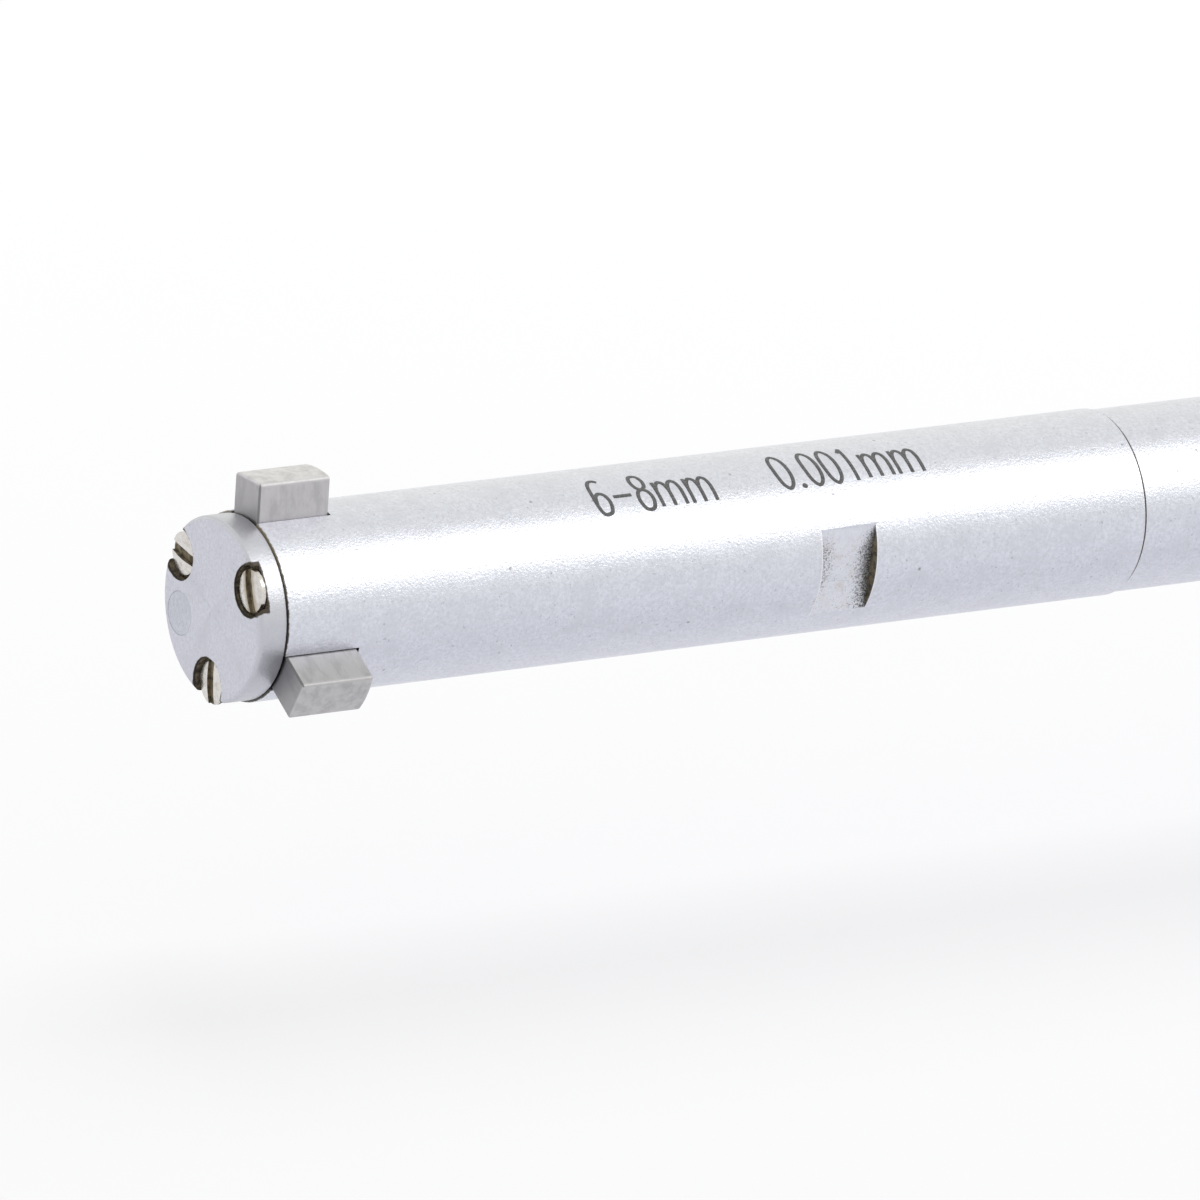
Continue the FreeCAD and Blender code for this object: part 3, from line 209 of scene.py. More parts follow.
soft_box("front_box", turn=38, lean=0.525, wide=0.7, deep=0.25, distance=0.5, power=1.11,
         colour=(1, 0.99, 0.95), matt=False)
soft_box("back_sheet", turn=-62, lean=0.525, wide=1.4, deep=0.8, distance=0.8, power=0.42,
         colour=(1, 0.95, 0.68))
soft_box("back_lamp", turn=-36, lean=0.5, wide=0.35, deep=0.35, distance=0.6, power=1.5, gloss=False)

# End cap: a disc of satin chrome that closes the head in front, turned, with three recesses
# for its screws. They break out through its rim, and old grease has dried in them.
SIDES = 288
SMALL_SIDES = 96
SCREW_COUNT = 3
SCREW_OFFSET = 2.2
SCREW_TURN = 60
SCREW_HOLE = 0.42
RECESS = 0.75
RECESS_DEPTH = 0.28
PLUG_OFFSET = 1.81
PLUG_TURN = -109.4
PLUG_RADIUS = 0.63
PLUG_DEPTH = 0.5
POCKET = 0.45
POCKET_DEPTH = 0.25
EDGE = 0.05
FACE_EDGE = 0.16
CHROME = (0.665, 0.676, 0.752)
CAP_CHROME = (0.61, 0.616, 0.682)
CAP_SIDE_SHADE = (0.53, 0.535, 0.585)
PLUG_OUTLINE = (0.42, 0.425, 0.47)
# Dark brown of old grease, also used as painted shade
DARK_GREASE_AND_SHADE = (0.060, 0.040, 0.026)
SEAM_LOW_DARK_TOP_LIGHT = (0.050, 0.042, 0.032), (0.27, 0.225, 0.15)


def span(node):
    """Front, rear and radius of a turned node, in millimetres."""
    low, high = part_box(node)
    return low.x / MM, high.x / MM, max(high.y, high.z, -low.y, -low.z) / MM


def around(turn, radius, x=0.0):
    """Point at a distance from the axis, turned from straight up towards the camera's side."""
    angle = math.radians(turn)
    return Vector((x, -radius * math.sin(angle), radius * math.cos(angle)))


def eased(points, steps=3):
    """Round the corners of an outline that give a third number, their radius."""
    smooth = []
    for place, point in enumerate(points):
        here = Vector(point[:2])
        if len(point) < 3:
            smooth.append(here)
            continue
        before = (Vector(points[place - 1][:2]) - here).normalized()
        after = (Vector(points[(place + 1) % len(points)][:2]) - here).normalized()
        half = before.angle(after) / 2
        reach = point[2] / math.tan(half)
        centre = here + (before + after).normalized() * (point[2] / math.sin(half))
        start, end = here + before * reach - centre, here + after * reach - centre
        for step in range(steps + 1):
            smooth.append(centre + start.lerp(end, step / steps).normalized() * point[2])
    return smooth


def solid(name, bm, material):
    """Make a piece of closed faces, all turned outwards."""
    bmesh.ops.recalc_face_normals(bm, faces=bm.faces)
    mesh = bpy.data.meshes.new(name)
    bm.to_mesh(mesh)
    bm.free()
    return new_piece(name, mesh, material)


def turned(name, points, material, sides=SIDES):
    """Turn an outline of length and radius round the X axis; one that starts off the axis is a ring."""
    bm = bmesh.new()
    rings = []
    for x, radius in eased(points):
        if radius < 1e-6:
            rings.append([bm.verts.new((x, 0, 0))])
            continue
        rings.append([bm.verts.new(around(360 * side / sides, radius, x)) for side in range(sides)])
    pairs = list(zip(rings, rings[1:]))
    if points[0][1] > 0:
        pairs.append((rings[-1], rings[0]))
    for first, second in pairs:
        for side in range(sides):
            corners = [ring[(side + step) % len(ring)] for ring, step in
                       ((first, 0), (first, 1), (second, 1), (second, 0))]
            bm.faces.new(list(dict.fromkeys(corners)))
    return solid(name, bm, material)


def pin(name, front, rear, radius, material, sides=SMALL_SIDES):
    """Plain round pin along the X axis."""
    return turned(name, [(front, 0), (front, radius), (rear, radius), (rear, 0)], material, sides)


def prism(name, section, low, high, material, axis="X"):
    """Close a flat outline into a block between two levels of an axis."""
    bm = bmesh.new()
    rings = []
    for at in (low, high):
        spots = {"X": [(at, a, b) for a, b in section], "Z": [(a, b, at) for a, b in section],
                 "Y": [(a, at, b) for a, b in section]}[axis]
        rings.append([bm.verts.new(spot) for spot in spots])
    for place in range(len(section)):
        following = (place + 1) % len(section)
        bm.faces.new((rings[0][place], rings[0][following], rings[1][following], rings[1][place]))
    for ring in rings:
        bm.faces.new(ring)
    return solid(name, bm, material)


def block(x_low, x_high, low, high):
    """Outline of a rectangle."""
    return [(x_low, low), (x_high, low), (x_high, high), (x_low, high)]


def settle(piece):
    """Keep what the piece's modifiers show as its plain mesh."""
    shown = piece.evaluated_get(bpy.context.evaluated_depsgraph_get())
    mesh = bpy.data.meshes.new_from_object(shown)
    piece.modifiers.clear()
    piece.data = mesh
    return piece


def cut(piece, *cutters, crossed=False):
    """Cut other pieces out of one; the walls of a cut take the cutter's material."""
    for cutter in cutters:
        step = piece.modifiers.new("cut", "BOOLEAN")
        step.operation = "DIFFERENCE"
        step.solver = "EXACT"
        step.material_mode = "TRANSFER"
        step.use_self = crossed
        step.object = cutter
    settle(piece)
    for cutter in cutters:
        bpy.data.objects.remove(cutter)
    return piece


def new_tree(name, numbers, **others):
    """Start a Geometry Nodes tree, and give its inputs by name and the socket for its result."""
    tree = bpy.data.node_groups.new(name, "GeometryNodeTree")
    for way in ("INPUT", "OUTPUT"):
        tree.interface.new_socket("Geometry", in_out=way, socket_type="NodeSocketGeometry")
    kinds = dict.fromkeys(numbers.split(), "Float") | others | {"Material": "Material"}
    for label, kind in kinds.items():
        tree.interface.new_socket(label, in_out="INPUT", socket_type=f"NodeSocket{kind}")
    given = {socket.name: Wire(socket) for socket in tree.nodes.new("NodeGroupInput").outputs}
    return tree, given, tree.nodes.new("NodeGroupOutput").inputs[0]


def paint(shape, given, result, **more):
    """End a tree: make its instances real and give them the material."""
    real = put(shape.tree, "GeometryNodeRealizeInstances", {0: shape})
    painted = put(shape.tree, "GeometryNodeSetMaterial", {
        "Geometry": real, "Material": given["Material"], **more})
    shape.tree.links.new(painted.socket, result)


def grow(piece, tree, **values):
    """Run a tree on a piece with these inputs, and keep the result as a plain mesh."""
    step = piece.modifiers.new(tree.name, "NODES")
    step.node_group = tree
    for item in tree.interface.items_tree:
        if item.in_out == "INPUT" and item.name in values:
            step[item.identifier] = values[item.name]
    piece.update_tag()
    return settle(piece)


# Repeats a shape evenly round the axis, turned with it or kept upright
ring_of, given, result = new_tree("ring_of", "Offset First Turned", Count="Int")
turn = put(ring_of, "GeometryNodeInputIndex") * calc("DIVIDE", math.tau, given["Count"]) + given["First"]
spot = put(ring_of, "ShaderNodeCombineXYZ", {
    "Y": given["Offset"] * calc("SINE", turn) * -1.0,
    "Z": given["Offset"] * calc("COSINE", turn)})
spots = put(ring_of, "GeometryNodePoints", {"Count": given["Count"], "Position": spot})
lying = put(ring_of, "ShaderNodeCombineXYZ", {"X": turn * given["Turned"]})
copies = put(ring_of, "GeometryNodeInstanceOnPoints", {
    "Points": spots, "Instance": given["Geometry"], "Rotation": lying})
paint(copies, given, result)


def repeat(piece, count, material, first=0.0, offset=0.0, turned=1.0):
    """Repeat a piece round the axis, from a first turn in degrees."""
    return grow(piece, ring_of, Count=count, Offset=offset, First=math.radians(first), Turned=turned,
                Material=material)


def finish(piece, body, slot, *nodes, sharp=30):
    """Smooth a piece, bring it from millimetres to its place, and say what it rides on and stands for.

    A piece between two bodies gives both, with the points where it joins them; these are not used, and
    such a piece is left where it is."""
    piece.data.set_sharp_from_angle(angle=math.radians(sharp))
    for face in piece.data.polygons:
        face.use_smooth = True
    weigh = piece.modifiers.new("weigh", "WEIGHTED_NORMAL")
    weigh.keep_sharp = True
    settle(piece)
    piece.data.transform(Matrix.Scale(MM, 4))
    if isinstance(body, str):
        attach(piece, body)
    else:
        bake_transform(piece)
    if nodes:
        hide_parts(*nodes)
    return piece


def surface(name, colour, roughness, metallic=1.0):
    """Start a material: itself, its shader and the place on the object in millimetres."""
    material = bpy.data.materials.new(name)
    material.use_nodes = True
    tree = material.node_tree
    shader = tree.nodes["Principled BSDF"]
    shader.inputs["Base Color"].default_value = (*colour, 1)
    shader.inputs["Roughness"].default_value = roughness
    shader.inputs["Metallic"].default_value = metallic
    here = put(tree, "ShaderNodeTexCoord", gives="Object")
    place = put(tree, "ShaderNodeMapping", {"Vector": here, "Scale": (1 / MM,) * 3})
    return material, shader, place


def measure(operation, *terms):
    """Add a vector math node, and give its number or else its vector."""
    gives = "Value" if operation in ("LENGTH", "DISTANCE", "DOT_PRODUCT") else "Vector"
    return put(terms[0].tree, "ShaderNodeVectorMath", dict(enumerate(terms)), gives, operation=operation)


def lie(place):
    """How a place lies: its distances along X, Y and Z, then its vector and distance from the axis."""
    apart = [put(place.tree, "ShaderNodeSeparateXYZ", {0: place}, way) for way in "XYZ"]
    line = put(place.tree, "ShaderNodeCombineXYZ", {"Y": apart[1], "Z": apart[2]})
    return *apart, line, measure("LENGTH", line)


def noise(place, scale, detail=2.0, roughness=0.5, stretch=None):
    """Noise with a grain per millimetre, stretched where asked; around 0.5."""
    if stretch:
        place = measure("MULTIPLY", place, stretch)
    return put(place.tree, "ShaderNodeTexNoise", {"Vector": place, "Scale": scale, "Detail": detail,
                                                  "Roughness": roughness})


def ragged(place, scale, width, detail=3):
    """Small uneven number around zero, that frays the edge of a mask."""
    return calc("MULTIPLY_ADD", noise(place, scale, detail, 0.7), width, -width / 2)


def ramp(value, low, high, start=0.0, end=1.0):
    """Carry a value from one range to another, held at both ends."""
    return put(value.tree, "ShaderNodeMapRange", {"Value": value, "From Min": low, "From Max": high,
                                                  "To Min": start, "To Max": end})


def shade(colour, by):
    """Make a colour brighter or darker."""
    return tuple(value * by for value in colour)


def blend(factor, first, second):
    """Mix two colours, or a colour and what another node gives."""
    first, second = ((*each, 1) if isinstance(each, tuple) else each for each in (first, second))
    return put(factor.tree, "ShaderNodeMix", {0: factor, 6: first, 7: second}, 2, data_type="RGBA")


def feed(shader, name, value):
    """Join what another node gives to an input of the shader."""
    value.tree.links.new(value.socket, shader.inputs[name])


def emboss(shader, height, strength, depth):
    """Show a height in the shading, with its depth in millimetres."""
    feed(shader, "Normal", put(height.tree, "ShaderNodeBump", {
        "Strength": strength, "Distance": depth * MM, "Height": height}))


def tint(shader, mask, colour):
    """Give the masked places another colour."""
    base = shader.inputs["Base Color"]
    clean = Wire(base.links[0].from_socket) if base.links else tuple(base.default_value)[:3]
    feed(shader, "Base Color", blend(mask, clean, colour))


def soil(shader, mask, colour=DARK_GREASE_AND_SHADE):
    """Cover the masked places with a dark, dull colour: dried grease, and in some places painted shade.
    """
    tint(shader, mask, colour)
    metal = shader.inputs["Metallic"]
    before = Wire(metal.links[0].from_socket) if metal.links else 1.0
    feed(shader, "Metallic", ramp(mask, 0, 1, 1, 0) * before)


def satin_chrome(name, colour=CHROME, rough=0.31, grain=0.9):
    """Matt chrome plate on blasted steel: a fine even grain, faint clouds, dark specks and a few pits."""
    material, shader, place = surface(name, colour, rough)
    feed(shader, "Roughness", ramp(noise(place, 0.9, 4), 0.3, 0.7, rough - 0.03, rough + 0.04))
    fine = ramp(noise(place, 9, 4, 0.8), 0.38, 0.64)
    clouds = ramp(noise(place, 1.3, 5, 0.65), 0.48, 0.68, 0.0, 0.8)
    specks = ramp(noise(place, 8, 2, 0.7), 0.65, 0.72, 0.0, 0.8)
    pit = put(place.tree, "ShaderNodeTexVoronoi", {"Vector": place, "Scale": 1.1}, "Distance")
    tone = blend(fine, shade(colour, 1.09), shade(colour, 0.90))
    for mask, by in ((clouds, 0.93), (specks, 0.66), (ramp(pit, 0.070, 0.030, 0.0, 0.7), 0.30)):
        tone = blend(mask, tone, shade(colour, by))
    feed(shader, "Base Color", tone)
    emboss(shader, noise(place, 14, 3, 0.65), grain, 0.016)
    return material, shader, place


grime, shader, place = surface("dried_grease", (0.045, 0.032, 0.022), 0.75, 0.0)
dried = blend(ramp(noise(place, 8, 4), 0.38, 0.65), (0.045, 0.034, 0.024), (0.26, 0.215, 0.155))
inwards = ramp(lie(place)[0], 0.03, 0.09)
feed(shader, "Base Color", blend(inwards, (0.026, 0.019, 0.014), dried))
emboss(shader, noise(place, 9, 4), 0.8, 0.03)

screw_places = [around(SCREW_TURN + 360 / SCREW_COUNT * number, SCREW_OFFSET)
                for number in range(SCREW_COUNT)]
plug_place = around(PLUG_TURN, PLUG_OFFSET)
cap_front, cap_rear, cap_radius = span("end_cap")
cap_chrome, shader, place = satin_chrome("cap_chrome", CAP_CHROME, 0.36, 0.7)
along, _, high, line, off_axis = lie(place)
frayed = ragged(place, 5, 0.11)
frayed_front = along + frayed
to_screw, *others = [measure("DISTANCE", line, spot) for spot in screw_places]
for other in others:
    to_screw = calc("MINIMUM", to_screw, other)
corner = ramp(off_axis, cap_radius - 0.35, cap_radius - 0.02, 0.0, 0.07)
reach = to_screw + frayed - corner
near_rim = (ramp(reach, RECESS + 0.035, RECESS + 0.005)
            * ramp(frayed_front, RECESS_DEPTH + 0.07, RECESS_DEPTH + 0.04))
# The side of the cap and the outer edge of its face are painted darker in patches: a painted shade.
painted_side_shade = (ramp(off_axis, cap_radius - 0.12, cap_radius - 0.03)
           * ramp(noise(place, 3, 4, 0.7), 0.3, 0.65, 0.55, 1.0))
tint(shader, painted_side_shade, CAP_SIDE_SHADE)
beside = abs(measure("DISTANCE", line, plug_place) - PLUG_RADIUS)
tint(shader, ramp(beside, 0.040, 0.008) * ramp(noise(place, 2.5, 3), 0.35, 0.6, 0.3, 0.9),
     PLUG_OUTLINE)
soil(shader, near_rim)
# The seam behind the cap is a dark line, painted lighter brown towards the top.
soil(shader, ramp(frayed_front, cap_rear - 0.01, cap_rear + 0.01),
     blend(ramp(high, 0.6, 2.3), *SEAM_LOW_DARK_TOP_LIGHT))

end_cap = turned("end_cap_plated", [
    (cap_front, 0), (cap_front, cap_radius, FACE_EDGE), (cap_rear, cap_radius, EDGE),
    (cap_rear, POCKET), (cap_rear - POCKET_DEPTH, POCKET), (cap_rear - POCKET_DEPTH, 0)], cap_chrome)
recess_floor = cap_front + RECESS_DEPTH
recess = turned("recesses", [
    (cap_front - 0.1, 0), (cap_front - 0.1, RECESS + 0.12), (cap_front + 0.02, RECESS),
    (recess_floor, RECESS), (recess_floor, SCREW_HOLE), (cap_rear + 0.1, SCREW_HOLE),
    (cap_rear + 0.1, 0)], grime, SMALL_SIDES)
recesses = repeat(recess, SCREW_COUNT, grime, first=SCREW_TURN, offset=SCREW_OFFSET, turned=0.0)
plug_hole = pin("plug_hole", cap_front - 0.1, cap_front + PLUG_DEPTH, PLUG_RADIUS, cap_chrome)
plug_hole.data.transform(Matrix.Translation(plug_place))
cut(end_cap, recesses, plug_hole)
finish(end_cap, "frame", "satin_chrome", "end_cap")

# Cap plug: a steel pin pressed into a blind hole of the cap and turned flush with it, so
# that only a faint circle shows.
PLUG_CHROME = (0.565, 0.577, 0.645)
PLUG_PLAY = 0.002
PLUG_PROUD = 0.003
plug_radius = PLUG_RADIUS - PLUG_PLAY
plug_front, plug_rear = cap_front + PLUG_PROUD, cap_front + PLUG_DEPTH - 0.01
plug = turned("cap_plug_face", [
    (plug_front, 0), (plug_front, plug_radius, 0.005), (plug_rear, plug_radius), (plug_rear, 0)],
    satin_chrome("plug_chrome", PLUG_CHROME, 0.40, 0.7)[0], SMALL_SIDES)
plug.data.transform(Matrix.Translation(plug_place))
finish(plug, "frame", "satin_chrome", "cap_plug")

# Cap screws: three slotted steel screws with polished domed heads, sunk in the rim of the
# cap and screwed into the head behind it. Each slot lies as it was tightened, full of grease.
HEAD_RADIUS = 0.63
HEAD_DOME = 0.05
HEAD_HEIGHT = 0.18
HEAD_TOPS = 0.03, 0.10, 0.10
SLOT_TURNS = 161.5, 174, 100
SHANK = 0.40
SCREW_LENGTH = 3.77
SLOT_HALF = 0.155
SLOT_DEPTH = 0.13
SLOT_FLARE = 0.02
STAIN = (0.33, 0.27, 0.18)

bright_steel, shader, place = surface("polished_steel", (0.70, 0.675, 0.655), 0.22)
feed(shader, "Roughness", ramp(noise(place, 8, 4), 0.3, 0.7, 0.16, 0.34))
feed(shader, "Base Color", blend(ramp(noise(place, 4, 4, 0.7), 0.45, 0.75), (0.72, 0.70, 0.68),
                                 (0.52, 0.47, 0.42)))
emboss(shader, noise(place, 5, 3), 0.3, 0.01)
cap_screw_steel = bright_steel.copy()
cap_screw_steel.name = "cap_screw_steel"
shader = cap_screw_steel.node_tree.nodes["Principled BSDF"]
place = Wire(cap_screw_steel.node_tree.nodes["Mapping"].outputs[0])
along, _, _, line, _ = lie(place)
frayed = ragged(place, 5, 0.1)
from_screw = measure("SUBTRACT", line, screw_places[0])
from_slot = measure("DOT_PRODUCT", from_screw, around(SLOT_TURNS[0] + 90, 1))
beside = ramp(abs(from_slot) + frayed, 0.36, 0.17, 0.0, 0.85)
on_head = calc("LESS_THAN", measure("LENGTH", from_screw), 0.8)
tint(shader, beside * on_head, STAIN)
soil(shader, ramp(along + frayed, 0.19, 0.22))
slot_grime, shader, place = surface("slot_grease", (0.15, 0.12, 0.075), 0.7, 0.0)
feed(shader, "Base Color", blend(ramp(noise(place, 6, 4), 0.38, 0.62), (0.085, 0.066, 0.042),
                                 (0.29, 0.235, 0.155)))

# Sets a copy of a screw on each point, turned as its point says
screw_set, given, result = new_tree("screw_set", "", Screw="Object")
tightened = put(screw_set, "GeometryNodeInputNamedAttribute", {"Name": "tightened"}, data_type="FLOAT")
copies = put(screw_set, "GeometryNodeInstanceOnPoints", {
    "Points": put(screw_set, "GeometryNodeMeshToPoints", {0: given["Geometry"]}),
    "Instance": put(screw_set, "GeometryNodeObjectInfo", {"Object": given["Screw"]}, "Geometry"),
    "Rotation": put(screw_set, "ShaderNodeCombineXYZ", {"X": tightened})})
outside = calc("LESS_THAN", put(screw_set, "GeometryNodeInputMaterialIndex"), 0.5)
paint(copies, given, result, Selection=outside)

dome = (HEAD_RADIUS ** 2 + HEAD_DOME ** 2) / (2 * HEAD_DOME)
crown = []
for step in range(11):
    radius = HEAD_RADIUS * step / 10
    crown.append((dome - math.sqrt(dome ** 2 - radius ** 2), radius))
crown[-1] += (0.015,)
cap_screw = turned("cap_screw", crown + [
    (HEAD_HEIGHT, HEAD_RADIUS), (HEAD_HEIGHT, SHANK), (SCREW_LENGTH - 0.2, SHANK),
    (SCREW_LENGTH, SHANK / 2), (SCREW_LENGTH, 0)], cap_screw_steel, SMALL_SIDES)
flared = SLOT_HALF + SLOT_FLARE
slot = [(-0.1, flared), (0, flared), (SLOT_FLARE, SLOT_HALF), (SLOT_DEPTH, SLOT_HALF)]
slot += [(x, -y) for x, y in reversed(slot)]
cut(cap_screw, prism("slot", slot, -1, 1, slot_grime, axis="Z"))
holes = bpy.data.meshes.new("cap_screws")
holes.from_pydata([spot + Vector((top, 0, 0)) for spot, top in zip(screw_places, HEAD_TOPS)], [], [])
holes.attributes.new("tightened", "FLOAT", "POINT").data.foreach_set(
    "value", [math.radians(slot_turn) for slot_turn in SLOT_TURNS])
screws = grow(new_piece("cap_screws_polished", holes), screw_set, Screw=cap_screw,
              Material=cap_screw_steel)
bpy.data.objects.remove(cap_screw)
finish(screws, "frame", "polished_steel", "cap_screws")

# Measuring head: a round body of hardened steel in satin chrome, bored for the cone, with
# three slots for the anvils and two milled flats for a spanner. The tube screws in behind.
SLOT_HALF_WIDTH = 0.69
SLOT_REAR = 3.35
SLOT_BREAK = 0.03
CONE_BORE = 1.42
CONE_BORE_LENGTH = 11.6
ROD_BORE = 1.0
TUBE_SEAT = 2.21
TUBE_SEAT_LENGTH = 6.3
FLAT_FRONT = 18.9
FLAT_REAR = 20.77
FLAT_LEVEL = 2.41
FLAT_TURN = 96.2
FLAT_WASH = (0.725, 0.735, 0.80)
FLAT_STAIN = (0.60, 0.56, 0.53)
FLAT_SPECKS_AND_SHADE = (0.040, 0.038, 0.036)
WALL_GREASE_AND_SHADE = (0.045, 0.040, 0.028), (0.23, 0.185, 0.12)
FLAT_EDGE_HIGHLIGHT = (0.95, 0.94, 0.93)

head_front, head_rear, head_radius = span("head_body")
head_chrome, shader, place = satin_chrome("head_chrome")
along, _, high, line, off_axis = lie(place)
past = abs(along - (FLAT_FRONT + FLAT_REAR) / 2) - (FLAT_REAR - FLAT_FRONT) / 2
on_flat = ramp(off_axis, head_radius - 0.012, head_radius - 0.03) * calc("LESS_THAN", past, 0.003)
wash = ramp(noise(place, 4, 4, 0.7), 0.35, 0.62, 0.2, 1.0)
stain = ramp(noise(place, 2.5, 4, 0.8), 0.52, 0.66, 0.0, 0.5)
tint(shader, on_flat * wash, FLAT_WASH)
tint(shader, on_flat * stain, FLAT_STAIN)
# The seam at the front of the head is a dark line, painted lighter brown towards the top.
seam = ramp(along + ragged(place, 5, 0.09), head_front + 0.03, head_front + 0.01)
soil(shader, seam, blend(ramp(high, 0.6, 2.3), *SEAM_LOW_DARK_TOP_LIGHT))
# Dark specks of dirt on the flats, denser towards their walls and thinner higher up; by the rear wall
# they also stand for the wall's shade, a painted shade.
speckle = noise(place, 21, 2, 0.8)
to_rear = ramp(along, FLAT_REAR - 0.68, FLAT_REAR - 0.04, -0.13, 0.14)
to_top = ramp(high, 0.3, 1.0, 0.0, 0.16)
rear_specks_and_shade = ramp(speckle + to_rear - to_top, 0.46, 0.68, 0.0, 0.95)
to_front = ramp(along, FLAT_FRONT + 0.90, FLAT_FRONT + 0.26, -0.14, 0.07)
to_ends = ramp(abs(high + 0.05), 0.45, 1.05, 0.0, 0.16)
flecks = ramp(speckle + to_front - to_ends, 0.50, 0.72, 0.0, 0.8)
soil(shader, calc("MAXIMUM", rear_specks_and_shade, flecks) * on_flat, FLAT_SPECKS_AND_SHADE)
# The walls of the flats are painted dark brown: old grease, and a painted shade of the walls.
soil(shader, ramp(past, -0.006, -0.002) * on_flat,
     blend(ramp(noise(place, 6, 3, 0.8), 0.40, 0.62), *WALL_GREASE_AND_SHADE))
# A thin light line is painted along the edges of the flats: a painted highlight.
outward = abs(measure("DOT_PRODUCT", line, around(FLAT_TURN, 1)))
rim = ramp(past, 0.045, 0.02, 0.0, 0.5) * calc("GREATER_THAN", past, 0.003)
tint(shader, rim * calc("GREATER_THAN", outward, FLAT_LEVEL), FLAT_EDGE_HIGHLIGHT)

bore_end, seat_end = head_front + CONE_BORE_LENGTH, head_rear - TUBE_SEAT_LENGTH
head = turned("measuring_head", [
    (head_front, CONE_BORE), (head_front, head_radius, EDGE), (SLOT_REAR + 0.2, head_radius),
    (FLAT_FRONT - 0.2, head_radius), (FLAT_REAR + 0.2, head_radius), (head_rear, head_radius, 0.02),
    (head_rear, TUBE_SEAT), (seat_end, TUBE_SEAT), (seat_end, ROD_BORE), (bore_end, ROD_BORE),
    (bore_end, CONE_BORE)], head_chrome)
mouth = math.sqrt(head_radius ** 2 - SLOT_HALF_WIDTH ** 2) - SLOT_BREAK
half_slot = [(SLOT_HALF_WIDTH, -0.2), (SLOT_HALF_WIDTH, mouth), (SLOT_HALF_WIDTH + 1, mouth + 1)]
anvil_slot = prism("anvil_slots", half_slot + [(-y, z) for y, z in reversed(half_slot)],
                   head_front - 0.2, SLOT_REAR, head_chrome)
flat = prism("flats", block(FLAT_FRONT, FLAT_REAR, FLAT_LEVEL, head_radius + 1), -4, 4, head_chrome,
             axis="Y")
cut(head, repeat(anvil_slot, 3, head_chrome), repeat(flat, 2, head_chrome, first=FLAT_TURN))
finish(head, "frame", "satin_chrome", "head_body")

# Marking: the range and the graduation of the gauge, engraved with a round cutter in plain
# single strokes. The strokes are shallow and keep a dark, rough floor.
STROKE = 0.122
LIFT = 0.003
FLATTENED = 0.15
DIGIT_TOP, DIGIT_BOTTOM = 12.6, 41.4
LETTER_TOP, LETTER_BOTTOM = 21, 40.4
ENGRAVED = (0.07, 0.07, 0.072), (0.20, 0.20, 0.21)
# Each word's turn, and where each of its signs starts and ends along the head
WORDS = {
    "6-8mm": (0, (11.82, 12.28), (12.47, 13.07), (13.26, 13.72), (13.95, 14.75), (15.00, 15.77)),
    "0.001mm": (-3, (18.07, 18.55), (18.66, 18.96), (19.09, 19.56), (19.75, 20.21), (20.36, 20.84),
                (21.10, 21.90), (22.14, 22.95))}
# The strokes of each sign, as places across and up in hundredths; a stroke that comes back is closed
GLYPHS = {
    "0": [(50, 100, 83, 89, 98, 66, 98, 34, 83, 11, 50, 0, 17, 11, 2, 34, 2, 66, 17, 89, 50, 100)],
    "1": [(35, 86, 62, 100), (62, 100, 62, 0)],
    "2": [(0, 76, 12, 93, 50, 100, 88, 93, 98, 74, 80, 50, 30, 20, 0, 0), (0, 0, 100, 0)],
    "3": [(2, 86, 30, 99, 75, 97, 95, 77, 78, 57, 42, 53),
          (42, 53, 85, 46, 100, 25, 80, 4, 30, 0, 0, 14)],
    "4": [(72, 0, 72, 100), (72, 100, 0, 30), (0, 30, 100, 30)],
    "5": [(95, 100, 12, 100), (12, 100, 4, 56), (4, 56, 40, 62, 85, 54, 100, 30, 82, 6, 40, 0, 0, 12)],
    "6": [(100, 94, 75, 100, 40, 97, 10, 78, 0, 45, 3, 20, 20, 3, 50, 0, 84, 6, 100, 28, 86, 49, 50, 56,
           18, 48, 2, 28)],
    "8": [(50, 54, 86, 46, 100, 27, 84, 6, 50, 0, 16, 6, 0, 27, 14, 46, 50, 54),
          (50, 54, 82, 62, 93, 78, 80, 95, 50, 100, 20, 95, 7, 78, 18, 62, 50, 54)],
    "-": [(0, 43, 100, 43)],
    ".": [(50, 0, 60, 2, 50, 4, 40, 2, 50, 0)],
    "m": [(0, 0, 0, 100), (0, 60, 10, 86, 26, 98, 43, 88, 50, 60), (50, 60, 50, 0),
          (50, 60, 60, 86, 76, 98, 93, 88, 100, 60), (100, 60, 100, 0)],
}


def thicken(curves, width, sides):
    """Give curves a round section."""
    circle = put(curves.tree, "GeometryNodeCurvePrimitiveCircle", {
        "Resolution": sides, "Radius": width * 0.5})
    return put(curves.tree, "GeometryNodeCurveToMesh", {
        "Curve": curves, "Profile Curve": circle, "Fill Caps": True})


def engrave(curves, given, result):
    """Give flat curves the cutter's width, roll them round a cylinder or a cone, and paint them."""
    tree = curves.tree
    along, level, above, *_ = lie(put(tree, "GeometryNodeInputPosition"))
    grown = (along - given["Start"]) * given["Slope"]
    height = given["Radius"] + grown + calc("MULTIPLY_ADD", above, FLATTENED, LIFT)
    angle = level / given["Radius"]
    rolled = put(tree, "ShaderNodeCombineXYZ", {
        "X": along, "Y": height * calc("SINE", angle), "Z": height * calc("COSINE", angle)})
    shape = thicken(curves, given["Width"], 8)
    paint(put(tree, "GeometryNodeSetPosition", {"Geometry": shape, "Position": rolled}), given, result)


def up_side(turn, radius):
    """Level of a turn in degrees when the side of a cylinder is laid flat."""
    return -math.radians(turn) * radius


